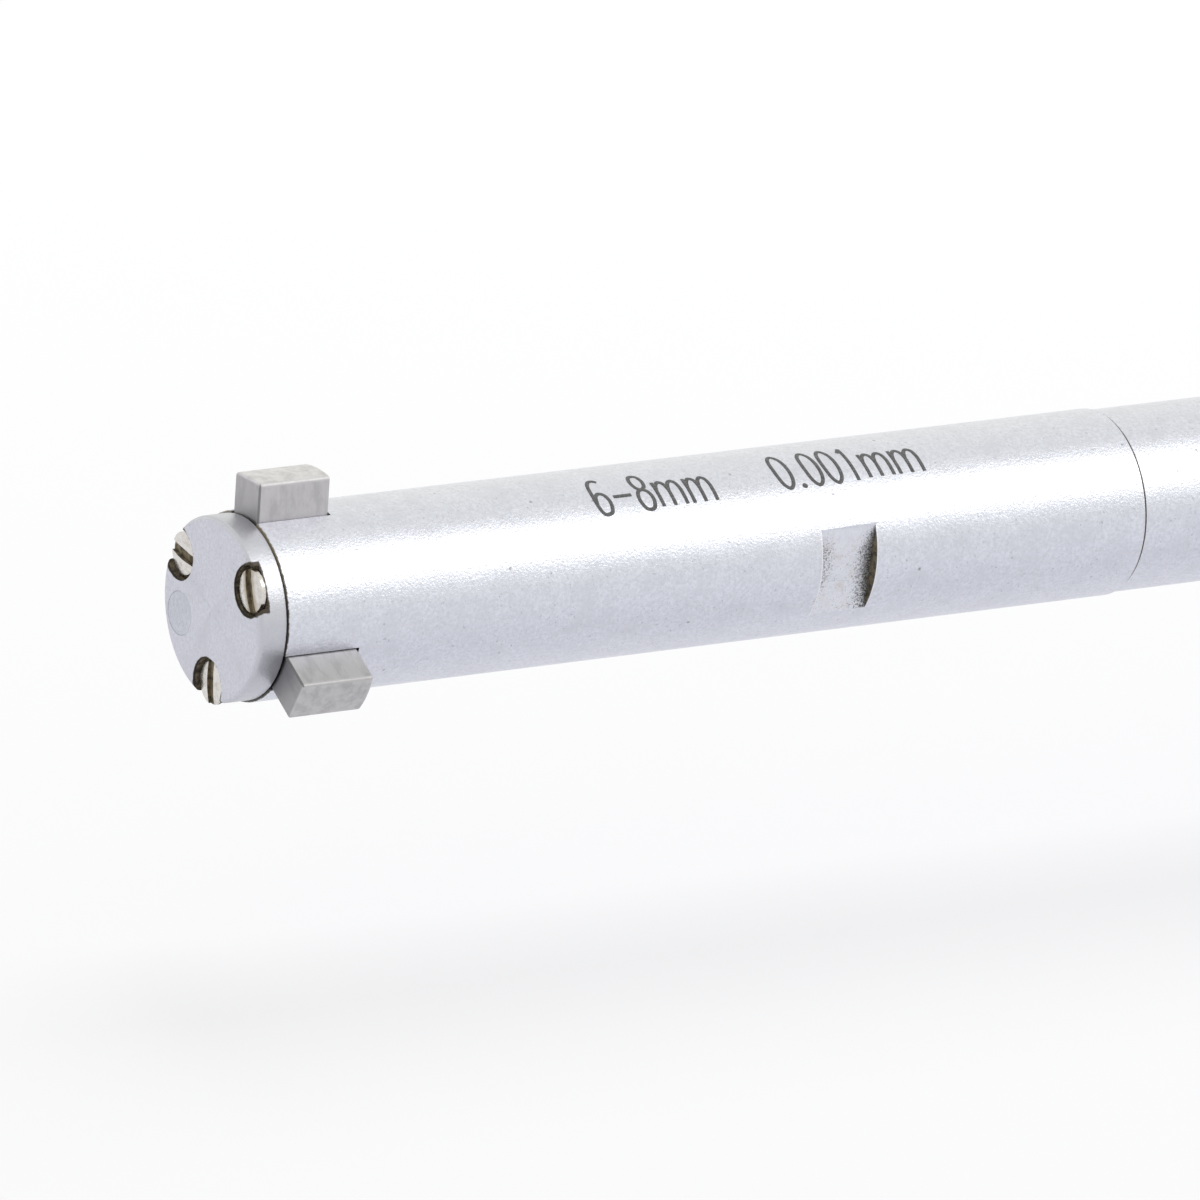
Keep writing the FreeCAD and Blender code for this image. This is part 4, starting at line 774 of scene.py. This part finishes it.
def letter(strokes, sign, left, right, top, bottom):
    """Write one sign into a list of strokes, between two places along and two levels up."""
    for stroke in GLYPHS[sign]:
        strokes.append([(left + (right - left) * (across / 100), bottom + (top - bottom) * (high / 100))
                        for across, high in zip(stroke[::2], stroke[1::2])])


engraving, given, result = new_tree("engraving", "Width Radius Slope Start")
lines = put(engraving, "GeometryNodeMeshToCurve", {0: given["Geometry"]})
smooth = put(engraving, "GeometryNodeCurveSplineType", {0: lines}, spline_type="CATMULL_ROM")
fine = put(engraving, "GeometryNodeSetSplineResolution", {0: smooth, "Resolution": 8})
engrave(fine, given, result)
engraved, shader, place = surface("engraved_floor", (0.11, 0.11, 0.115), 0.6, 0.0)
feed(shader, "Base Color", blend(ramp(noise(place, 14, 3, 0.7), 0.35, 0.7), *ENGRAVED))
emboss(shader, noise(place, 14, 3), 0.6, 0.02)


def write(name, strokes, width, radius, slope=0.0, start=0.0):
    """Engrave strokes in the side of a cylinder or a cone."""
    mesh = bpy.data.meshes.new(name)
    spots, edges = [], []
    for points in strokes:
        first = len(spots)
        closed = points[0] == points[-1]
        spots += [(x, y, 0) for x, y in points[:len(points) - closed]]
        edges += [(place, place + 1) for place in range(first, len(spots) - 1)]
        if closed:
            edges.append((len(spots) - 1, first))
    mesh.from_pydata(spots, edges, [])
    return grow(new_piece(name, mesh), engraving, Material=engraved, Width=width, Radius=radius,
                Slope=slope, Start=start)


strokes = []
for word, (shift, *places) in WORDS.items():
    for sign, (left, right) in zip(word, places):
        top, bottom = (LETTER_TOP, LETTER_BOTTOM) if sign == "m" else (DIGIT_TOP, DIGIT_BOTTOM)
        letter(strokes, sign, left, right, up_side(top + shift, head_radius),
               up_side(bottom + shift, head_radius))
finish(write("head_marking", strokes, STROKE, head_radius), "frame", "satin_chrome")

# Anvils: three blocks of hardened steel, ground on all sides, with a crowned measuring face
# and a foot sloped like the cone. They slide out of their slots as the cone comes forward.
ANVIL_HALF = 0.67
ANVIL_EDGE = 0.07
CROWN = 2.88
CREST = 3.865
FOOT = 1.045
FOOT_HALF = 0.26
SEAT_LENGTH = 0.45
SEAT_RISE = 0.275
# The same steel in three brightnesses, one for each anvil: lighter and darker copies that paint how each
# anvil is lit.
ANVIL_STEEL_LIT_AND_SHADED = (0.52, 0.506, 0.524), (0.428, 0.42, 0.432), (0.48, 0.472, 0.484)


def ground_steel(name, turn, colour):
    """Ground steel, with brush lines that run out from the axis. Its front end is painted darker, a
    painted shade; its crest and the rounded edges beside it are painted lighter.
    """
    material, shader, place = surface(name, colour, 0.42)
    place = put(place.tree, "ShaderNodeVectorRotate", {"Vector": place, "Angle": math.radians(-turn)},
                rotation_type="X_AXIS")
    along, across, high, *_ = lie(place)
    across = abs(across)
    dark = shade(colour, 0.50)
    lines = noise(place, 1.0, 3, 0.6, (9, 9, 0.9))
    cloud = calc("MULTIPLY_ADD", noise(place, 2.2, 4, 0.6), 0.5, -0.25)
    tone = blend(ramp(lines + cloud, 0.32, 0.7), shade(colour, 0.96), shade(colour, 1.07))
    smudge = noise(place, 1.0, 4, 0.65, (3.5, 3.5, 1.4))
    tone = blend(ramp(smudge, 0.46, 0.64, 0.0, 0.28), tone, dark)
    # The front end is painted darker: a painted shade.
    front = ramp(along, 0.985, 0.965)
    tone = blend(front * 0.30, tone, dark)
    # The crest is painted lighter, in blotches.
    level = ramp(high, CREST - 0.14, CREST - 0.07)
    blotch = ramp(noise(place, 2.6, 4, 0.65), 0.42, 0.62)
    tone = blend(level, tone, blend(blotch, shade(colour, 1.30), shade(colour, 1.05)))
    # The rounded edges beside the crest are painted lighter: a painted highlight.
    corner = ramp(across, ANVIL_HALF - 0.08, ANVIL_HALF - 0.04) * ramp(high, CREST - 0.20, CREST - 0.14)
    tone = blend(corner, tone, shade(colour, 1.18))
    # A dark line along the upright edges of the front: painted shade and dirt.
    edge = ramp(across, ANVIL_HALF - 0.065, ANVIL_HALF - 0.035) * ramp(along, 1.015, 0.995, 0.0, 0.85)
    # The front is painted darker still low down by the cap: a painted shade.
    low_front_shade = front * ramp(high, 3.6, 2.7, 0.0, 0.35)
    feed(shader, "Base Color", blend(calc("MAXIMUM", low_front_shade, edge), tone, dark))
    wear_and_knurl_shade = calc("MAXIMUM", edge, corner * 0.8)
    feed(shader, "Roughness", calc("MULTIPLY_ADD", wear_and_knurl_shade, 0.3, ramp(lines, 0.3, 0.7, 0.36, 0.48)))
    emboss(shader, lines, 0.25, 0.01)
    return material


side_foot = FOOT + (ANVIL_HALF - FOOT_HALF) / math.sqrt(3)
shoulder = CREST - CROWN
side_top = shoulder + math.sqrt(CROWN ** 2 - ANVIL_HALF ** 2)
rounded = [(ANVIL_HALF - ANVIL_EDGE * (1 - math.cos(turn)), side_top - ANVIL_EDGE * (1 - math.sin(turn)))
           for turn in (0, math.pi / 10, math.pi / 5, math.pi * 3 / 10)]
arc = math.asin((ANVIL_HALF - ANVIL_EDGE) / CROWN)
crown = [(CROWN * math.sin(arc * (1 - step / 8)), shoulder + CROWN * math.cos(arc * (1 - step / 8)))
         for step in range(17)]
section = [(-FOOT_HALF, FOOT), (FOOT_HALF, FOOT), (ANVIL_HALF, side_foot), *rounded, *crown,
           *((-y, z) for y, z in reversed(rounded)), (-ANVIL_HALF, side_foot)]
for number, colour in enumerate(ANVIL_STEEL_LIT_AND_SHADED):
    node = f"anvil_{number + 1}"
    turn = 120 * number
    front, rear, _ = span(node)
    steel = ground_steel(f"ground_steel_{number + 1}", turn, colour)
    anvil = prism(f"{node}_ground", section, front, rear, steel)
    corners = anvil.modifiers.new("corners", "BEVEL")
    corners.width = ANVIL_EDGE
    corners.segments = 4
    corners.limit_method = "ANGLE"
    corners.angle_limit = math.radians(60)
    settle(anvil)
    seat = [(rear - SEAT_LENGTH, FOOT - 0.1), (rear + 0.1, FOOT - 0.1), (rear + 0.1, FOOT + SEAT_RISE),
            (rear - SEAT_LENGTH, FOOT)]
    cut(anvil, prism("foot", seat, -1, 1, steel, axis="Y"))
    anvil.data.transform(Matrix.Rotation(math.radians(turn), 4, "X"))
    finish(anvil, node, "ground_steel", node)

# Return springs: a straight wire of spring steel for each anvil, hooked into its rear end
# and held in the bore of the head. They pull the anvils back on the cone.
spring_wire, shader, place = surface("spring_wire", (0.36, 0.36, 0.375), 0.3)
feed(shader, "Roughness", ramp(noise(place, 1.0, 3, 0.6, (2, 20, 20)), 0.3, 0.7, 0.22, 0.42))
feed(shader, "Base Color", blend(noise(place, 3, 3), (0.30, 0.30, 0.32), (0.43, 0.43, 0.44)))


def repaint(material, *nodes):
    """Give nodes of the frame their finish."""
    for node in nodes:
        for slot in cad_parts[node].material_slots:
            slot.material = material


repaint(spring_wire, "return_spring_1", "return_spring_2", "return_spring_3")

# Cone and push rod: a hardened cone that spreads the anvils, and the long rod behind it,
# with a pinned collar that takes the rear end of its spring. All of it is inside.
ROD_SPRING_WIRE = 0.3
ROD_SPRING_TURNS = 9.0
lapped, shader, place = surface("lapped_steel", (0.55, 0.55, 0.56), 0.2)
rings = noise(place, 1.0, 3, 0.6, (22, 1.5, 1.5))
feed(shader, "Roughness", ramp(rings, 0.3, 0.7, 0.14, 0.30))
emboss(shader, rings, 0.3, 0.008)
repaint(lapped, "measuring_cone", "push_rod", "spring_collar", "collar_pin")

# Winds a round wire along the X axis
winding, given, result = new_tree("winding", "Turns Middle Wire Front Length")
helix = put(winding, "GeometryNodeCurveSpiral", {
    "Resolution": 32, "Rotations": given["Turns"], "Start Radius": given["Middle"],
    "End Radius": given["Middle"], "Height": given["Length"] - given["Wire"]})
middle = calc("MULTIPLY_ADD", given["Wire"], 0.5, given["Front"])
start = put(winding, "ShaderNodeCombineXYZ", {"X": middle})
lying = put(winding, "GeometryNodeTransform", {
    "Geometry": helix, "Translation": start, "Rotation": (0, math.pi / 2, 0)})
paint(thicken(lying, given["Wire"], 12), given, result)


def wind_spring(node, wire, turns, front_body, rear_body):
    """Wind a spring that stands for a node; the bodies that it presses on are given but not used, so its
    ends do not follow them.
    """
    front, rear, radius = span(node)
    spring = new_piece(f"{node}_wound", bpy.data.meshes.new(node))
    grow(spring, winding, Turns=turns, Middle=radius - wire / 2, Wire=wire, Front=front,
         Length=rear - front, Material=spring_wire)
    finish(spring, (front_body, rear_body, (front * MM, 0, 0), (rear * MM, 0, 0)), "spring_steel", node)


wind_spring("rod_spring", ROD_SPRING_WIRE, ROD_SPRING_TURNS, "frame", "carriage")

# Extension tube: a plain tube in the same satin chrome, screwed into the head, with a bush
# of bronze inside its rear end and a clamp ring round it in front of the handle.
TUBE_BORE = 1.75
SPIGOT = 2.2
SIGHT_SLOPE = 0.62
RING_FLATS = 3.7
RING_PLAY = 0.02
RING_BEVEL = 0.4

tube_front, tube_rear, tube_radius = span("extension_tube")
tube_chrome, shader, place = satin_chrome("tube_chrome")
# The grease in the joint, with a painted shade under the head's rim, shows past the rear edge of the
# head, which hides the start of the tube
in_sight = head_rear + (head_radius - tube_radius) * SIGHT_SLOPE
soil(shader, ramp(lie(place)[0] + ragged(place, 5, 0.02), in_sight + 0.055, in_sight + 0.03))
tube = turned("extension_tube_plated", [
    (tube_front, TUBE_BORE), (tube_front, SPIGOT, 0.1), (head_rear, SPIGOT),
    (head_rear, tube_radius, EDGE), (tube_rear, tube_radius, EDGE), (tube_rear, TUBE_BORE)], tube_chrome)
finish(tube, "frame", "satin_chrome", "extension_tube")

bronze, shader, place = surface("bush_bronze", (0.62, 0.40, 0.20), 0.35)
feed(shader, "Base Color", blend(noise(place, 3, 4), (0.56, 0.35, 0.17), (0.68, 0.46, 0.25)))
repaint(bronze, "guide_bush")

ring_front, ring_rear, ring_radius = span("tube_ring")
barrel_front, barrel_rear, barrel_radius = span("barrel")
sleeve_front, sleeve_rear, sleeve_radius = span("scale_sleeve")
handle_chrome, shader, place = satin_chrome("handle_chrome")
along, *_, off_axis = lie(place)
frayed = ragged(place, 3, 0.10)
for joint, reach in ((ring_front, tube_radius + 0.16), (barrel_front, ring_radius + 0.14),
                     (sleeve_front, barrel_radius + 0.2)):
    gap = abs(along + frayed - joint)
    beside = ramp(off_axis + frayed, reach, reach - 0.06)
    soil(shader, beside * ramp(gap, 0.12, 0.06, 0.0, 0.85))
ring = turned("tube_ring_plated", [
    (ring_front, tube_radius + RING_PLAY), (ring_front, ring_radius - RING_BEVEL, 0.1),
    (ring_front + RING_BEVEL, ring_radius, 0.1), (ring_rear, ring_radius, EDGE),
    (ring_rear, tube_radius + RING_PLAY)], handle_chrome)
flat = prism("flats", block(ring_front - 1, ring_rear + 1, RING_FLATS, ring_radius + 1), -6, 6,
             handle_chrome, axis="Y")
finish(cut(ring, repeat(flat, 2, handle_chrome)), "frame", "satin_chrome", "tube_ring")

# Barrel: the inner sleeve of the handle, turned with a tapered nose and screwed on the tube.
# A slotted ring nut squeezes its slit rear end on the thread of the spindle.
NOSE_RADIUS = 4.7
NOSE_LENGTH = 8.0
SEAT_RADIUS = 8.0
STUB_RADIUS = 6.0
THREAD_BORE = 3.5
CHAMBER = 4.2
CHAMBER_LENGTH = 22.0
SLIT_HALF = 0.3
SLIT_LENGTH = 10
PLAY = 0.01

tube_hole = tube_radius + PLAY
chamber_rear = barrel_front + NOSE_LENGTH + CHAMBER_LENGTH
barrel = turned("barrel_plated", [
    (barrel_front, tube_hole), (barrel_front, NOSE_RADIUS, 0.15),
    (barrel_front + NOSE_LENGTH, barrel_radius, 1.2), (sleeve_front - PLAY, barrel_radius, 0.08),
    (sleeve_front - PLAY, SEAT_RADIUS), (sleeve_rear, SEAT_RADIUS), (sleeve_rear, STUB_RADIUS),
    (barrel_rear, STUB_RADIUS, 0.4), (barrel_rear, THREAD_BORE), (chamber_rear, THREAD_BORE),
    (chamber_rear, CHAMBER), (tube_rear + 0.05, CHAMBER), (tube_rear + 0.05, tube_hole)], handle_chrome)
slit = prism("slits", block(-SLIT_HALF, SLIT_HALF, 0, 9), barrel_rear - SLIT_LENGTH, barrel_rear + 1,
             handle_chrome)
finish(cut(barrel, repeat(slit, 3, handle_chrome)), "frame", "satin_chrome", "barrel")
repaint(lapped, "adjusting_nut")

# Scale sleeve: a thin chrome sleeve on the barrel, with the lines of the bore scale under
# the edge of the thimble, a vernier along it, and a hole for the spanner that sets zero.
SPANNER_HOLE = 0.8
SPANNER_PLACE = 3.5
DATUM_TURN = 38
READING = 7.73
SCALE_TOP = 8
PITCH = 0.5
THIMBLE_LINES = 50
LINE_WIDTH = 0.13
NUMBER_WIDTH = 0.15

graduation, given, result = new_tree("graduation", "Every Longer Shift Width Radius Slope Start",
                                     Count="Int", First="Vector", Step="Vector", Line="Vector")
row = put(graduation, "GeometryNodeMeshLine", {"Count": given["Count"], "Start Location": given["First"],
                                               "Offset": given["Step"]})
place_in_row = put(graduation, "GeometryNodeInputIndex") + given["Shift"]
odd = calc("FLOORED_MODULO", place_in_row, given["Every"])
reach = put(graduation, "ShaderNodeMix", {0: calc("LESS_THAN", odd, 0.5), 2: 1.0, 3: given["Longer"]},
            data_type="FLOAT")
stroke = put(graduation, "GeometryNodeCurvePrimitiveLine", {"End": given["Line"]})
stroke = put(graduation, "GeometryNodeResampleCurve", {"Curve": stroke, "Count": 9})
lines = put(graduation, "GeometryNodeInstanceOnPoints", {
    "Points": row, "Instance": stroke, "Scale": reach})
engrave(put(graduation, "GeometryNodeRealizeInstances", {0: lines}), given, result)


def scale_lines(name, radius, count, first, step, line, every=1.0, longer=1.0, shift=0.0, slope=0.0,
                start=0.0):
    """Engrave a row of lines, with every so many longer."""
    return grow(new_piece(name, bpy.data.meshes.new(name)), graduation, Material=engraved,
                Width=LINE_WIDTH, Radius=radius, Slope=slope, Start=start, Count=count, First=first,
                Step=step, Line=line, Every=every, Longer=longer, Shift=shift)


def write_number(strokes, number, centre, level, tall, wide):
    """Write a number round a place, its middle at a level up the side."""
    signs = str(number)
    step = wide * 1.35
    left = centre - (step * (len(signs) - 1) + wide) / 2
    for sign in signs:
        letter(strokes, sign, left, left + wide, level + tall / 2, level - tall / 2)
        left += step


def join(first, *others):
    """Make several meshes of the same materials one piece."""
    for other in others:
        bm = bmesh.new()
        bm.from_mesh(first.data)
        bm.from_mesh(other.data)
        bm.to_mesh(first.data)
        bm.free()
        bpy.data.objects.remove(other)
    return first


thimble_front, thimble_rear, _ = span("thimble")
sleeve = turned("scale_sleeve_plated", [
    (sleeve_front, SEAT_RADIUS + PLAY), (sleeve_front, sleeve_radius, 0.06),
    (sleeve_rear, sleeve_radius, 0.06), (sleeve_rear, SEAT_RADIUS + PLAY)], handle_chrome)
hole = pin("hole", -1, 1.5, SPANNER_HOLE, handle_chrome, sides=64)
hole.data.transform(Matrix.Translation((sleeve_front + SPANNER_PLACE, 0, -sleeve_radius))
                    @ Matrix.Rotation(math.pi / 2, 4, "Y"))
finish(cut(sleeve, hole), "frame", "satin_chrome", "scale_sleeve")

datum = up_side(DATUM_TURN, sleeve_radius)
top_line = thimble_front + READING - SCALE_TOP
turn_step = math.tau * sleeve_radius / THIMBLE_LINES
vernier_step = -turn_step * 0.9
strokes = []
write_number(strokes, SCALE_TOP, top_line, datum - turn_step * 1.6, 1.5, 0.62)
for line in range(0, 11, 2):
    write_number(strokes, line % 10, thimble_front - 7.0 + 0.9 * (line > 0) + 0.7,
                 datum - vernier_step * line, 1.3, 0.55)
scale = join(
    scale_lines("bore_scale", sleeve_radius, 5, (top_line, datum, 0), (PITCH, 0, 0),
                (0, turn_step * 0.75, 0), every=2.0, longer=1.8),
    scale_lines("datum_line", sleeve_radius, 1, (thimble_front - 6.4, datum, 0), (1, 0, 0), (8.3, 0, 0)),
    scale_lines("vernier", sleeve_radius, 10, (thimble_front - 4.4, datum - vernier_step, 0),
                (0, -vernier_step, 0), (4.2, 0, 0), every=5.0, shift=1.0),
    write("sleeve_numbers", strokes, NUMBER_WIDTH, sleeve_radius))
finish(scale, "frame", "satin_chrome")

# Thimble: it carries fifty lines on its front bevel and a grip of milled flutes, and sits
# on the taper of the spindle. One flute faces down, so the gauge lies still.
LIP = 0.35
LIP_PLAY = 0.12
BAND = 9.65
BEVEL_LENGTH = 4.2
LAND = 10.0
GROOVE = 9.5
GROOVE_WIDTH = 0.8
FLUTES = 16
FLUTE_CUTTER = 2.6
FLUTE_DEPTH = 0.45
HUB = 3.45
TAPER_FRONT, TAPER_REAR = 118.96, 127.66
TAPER_END = 3.01
REAR_BEVEL = 2.4
THIMBLE_SIDES = 384
FLUTE_SIDES = 192

grip_front, grip_rear = thimble_front + 6.5, thimble_rear - 5.9
half_grip = (grip_rear - grip_front) / 2
grip_chrome, shader, place = satin_chrome("grip_chrome")
along, *_, off_axis = lie(place)
frayed = ragged(place, 3, 0.12)
from_middle = abs(along - (grip_front + grip_rear) / 2)
low = ramp(off_axis + frayed, GROOVE + 0.14, GROOVE + 0.03)
soil(shader, low * ramp(from_middle, half_grip + 0.9, half_grip + 0.8))
soil(shader, ramp(along + frayed, thimble_front + 0.08, thimble_front + 0.03))
thimble_bore = sleeve_radius + LIP_PLAY
thimble = turned("thimble_plated", [
    (thimble_front, thimble_bore), (thimble_front, sleeve_radius + LIP, 0.04),
    (thimble_front + BEVEL_LENGTH, BAND, 1.0), (grip_front - GROOVE_WIDTH, BAND, 0.08),
    (grip_front - GROOVE_WIDTH, GROOVE), (grip_front, GROOVE), (grip_front, LAND, 0.15),
    (grip_rear, LAND, 0.15), (grip_rear, GROOVE), (grip_rear + GROOVE_WIDTH, GROOVE),
    (grip_rear + GROOVE_WIDTH, BAND, 0.08), (thimble_rear - REAR_BEVEL, BAND, 0.8),
    (thimble_rear, BAND - 2.35, 0.3), (thimble_rear, TAPER_END), (TAPER_REAR, TAPER_END),
    (TAPER_FRONT, HUB - PLAY), (TAPER_FRONT, thimble_bore)], grip_chrome, THIMBLE_SIDES)
flute_chrome = satin_chrome("flute_chrome", (0.585, 0.595, 0.665), 0.40)[0]
flute = pin("flute", grip_front - 0.4, grip_rear + 0.4, FLUTE_CUTTER, flute_chrome, FLUTE_SIDES)
flute.data.transform(Matrix.Translation((0, 0, LAND - FLUTE_DEPTH + FLUTE_CUTTER)))
finish(cut(thimble, repeat(flute, FLUTES, flute_chrome, first=180)), "thimble", "satin_chrome", "thimble")

edge_radius = sleeve_radius + LIP
slope = (BAND - edge_radius) / BEVEL_LENGTH
line_step = math.tau * edge_radius / THIMBLE_LINES
first_line = round((READING * 100) % THIMBLE_LINES)
zero = up_side(DATUM_TURN, edge_radius) + line_step * first_line
strokes = []
for line in range(0, THIMBLE_LINES, 5):
    write_number(strokes, line, thimble_front + 2.85, zero - line_step * line, 1.15, 0.5)
scale = join(
    scale_lines("thimble_scale", edge_radius, THIMBLE_LINES, (thimble_front + 0.06, zero, 0),
                (0, -line_step, 0), (1.15, 0, 0), every=5.0, longer=1.5, slope=slope,
                start=thimble_front),
    write("thimble_numbers", strokes, NUMBER_WIDTH, edge_radius, slope, thimble_front))
finish(scale, "thimble", "satin_chrome")

# Spindle and thrust ball: the ground spindle with the fine thread, and the hard ball that
# lets it turn against the cup on the rod. They run inside the handle.
repaint(lapped, "spindle", "thrust_cup", "thrust_ball")

# Ratchet: the knob turns on a flanged core and slips over a click ring at a set force. It
# has a fine straight knurl and is held by a slotted screw with its washer.
RATCHET_SPRING_WIRE = 0.4
RATCHET_SPRING_TURNS = 3.5
KNOB_BEVEL = 0.6
KNOB_BORE = 5.15
KNOB_POCKET = 3.7
WEB_FRONT, WEB_REAR = 136.14, 139.15
WEB_BORE = 3.02
KNURL = 54
KNURL_DEPTH = 0.24
KNURL_END = 1.4
TEETH = 12
TOOTH_DEPTH = 0.45
TOOTH_HALF = 1.286
HOLDING_SHANK = 1.0
HOLDING_HEAD = 1.3
HOLDING_SLOT_HALF = 0.3
HOLDING_SLOT_DEPTH = 0.6
SCREW_SIDES = 128
KNOB_SIDES = 324
repaint(lapped, "ratchet_base", "click_ring")
wind_spring("ratchet_spring", RATCHET_SPRING_WIRE, RATCHET_SPRING_TURNS, "thimble", "click_ring")

front, rear, radius = span("ratchet_knob")
knob = turned("ratchet_knob_plated", [
    (front, KNOB_BORE), (front, radius - KNOB_BEVEL, 0.15),
    (front + KNOB_BEVEL, radius, 0.15), (rear - KNOB_BEVEL, radius, 0.15),
    (rear, radius - KNOB_BEVEL, 0.2), (rear, KNOB_POCKET, 0.1), (WEB_REAR, KNOB_POCKET),
    (WEB_REAR, WEB_BORE), (WEB_FRONT - 0.4, WEB_BORE), (WEB_FRONT - 0.4, KNOB_BORE)],
    handle_chrome, KNOB_SIDES)
knurl_chrome, shader, place = satin_chrome("knurl_chrome", (0.50, 0.505, 0.56), 0.42)
# The valleys of the knurl are painted dark: a painted shade.
wear_and_knurl_shade = lie(place)[-1] + ragged(place, 2, 0.2, 4)
soil(shader, ramp(wear_and_knurl_shade, radius - 0.10, radius - 0.20, 0.0, 0.75))
half_wedge = [(0.02, radius - KNURL_DEPTH), (0.35, radius + 0.09), (0.35, radius + 0.5)]
wedge = [(-0.02, radius - KNURL_DEPTH), *half_wedge,
         *((-y, z) for y, z in reversed(half_wedge[1:]))]
knurl = prism("knurl", wedge, front + KNURL_END, rear - KNURL_END, knurl_chrome)
cut(knob, repeat(knurl, KNURL, knurl_chrome, first=180 / KNURL))
tooth = prism("tooth", [(WEB_FRONT, 0), (WEB_FRONT - TOOTH_DEPTH, TOOTH_HALF),
                        (WEB_FRONT - TOOTH_DEPTH, -TOOTH_HALF)], 0, KNOB_BORE, handle_chrome, axis="Z")
cut(knob, repeat(tooth, TEETH, handle_chrome, first=180 / TEETH), crossed=True)
finish(knob, "ratchet_knob", "satin_chrome", "ratchet_knob")

front, rear, radius = span("ratchet_screw")
screw_head = rear - HOLDING_HEAD
screw = turned("ratchet_screw_polished", [
    (front, 0), (front, HOLDING_SHANK, 0.2), (screw_head, HOLDING_SHANK),
    (screw_head, radius), (rear, radius, 0.2), (rear, 0)], bright_steel, SCREW_SIDES)
slot = prism("slot", block(rear - HOLDING_SLOT_DEPTH, rear + 1, -HOLDING_SLOT_HALF,
                           HOLDING_SLOT_HALF), -4, 4, grime, axis="Y")
finish(cut(screw, slot), "thimble", "polished_steel", "ratchet_screw")
front, rear, radius = span("ratchet_washer")
washer_bore = HOLDING_SHANK + 0.02
washer = turned("ratchet_washer_polished", [
    (front, washer_bore), (front, radius, 0.05), (rear, radius, 0.05),
    (rear, washer_bore)], bright_steel, SCREW_SIDES)
finish(washer, "thimble", "polished_steel", "ratchet_washer")
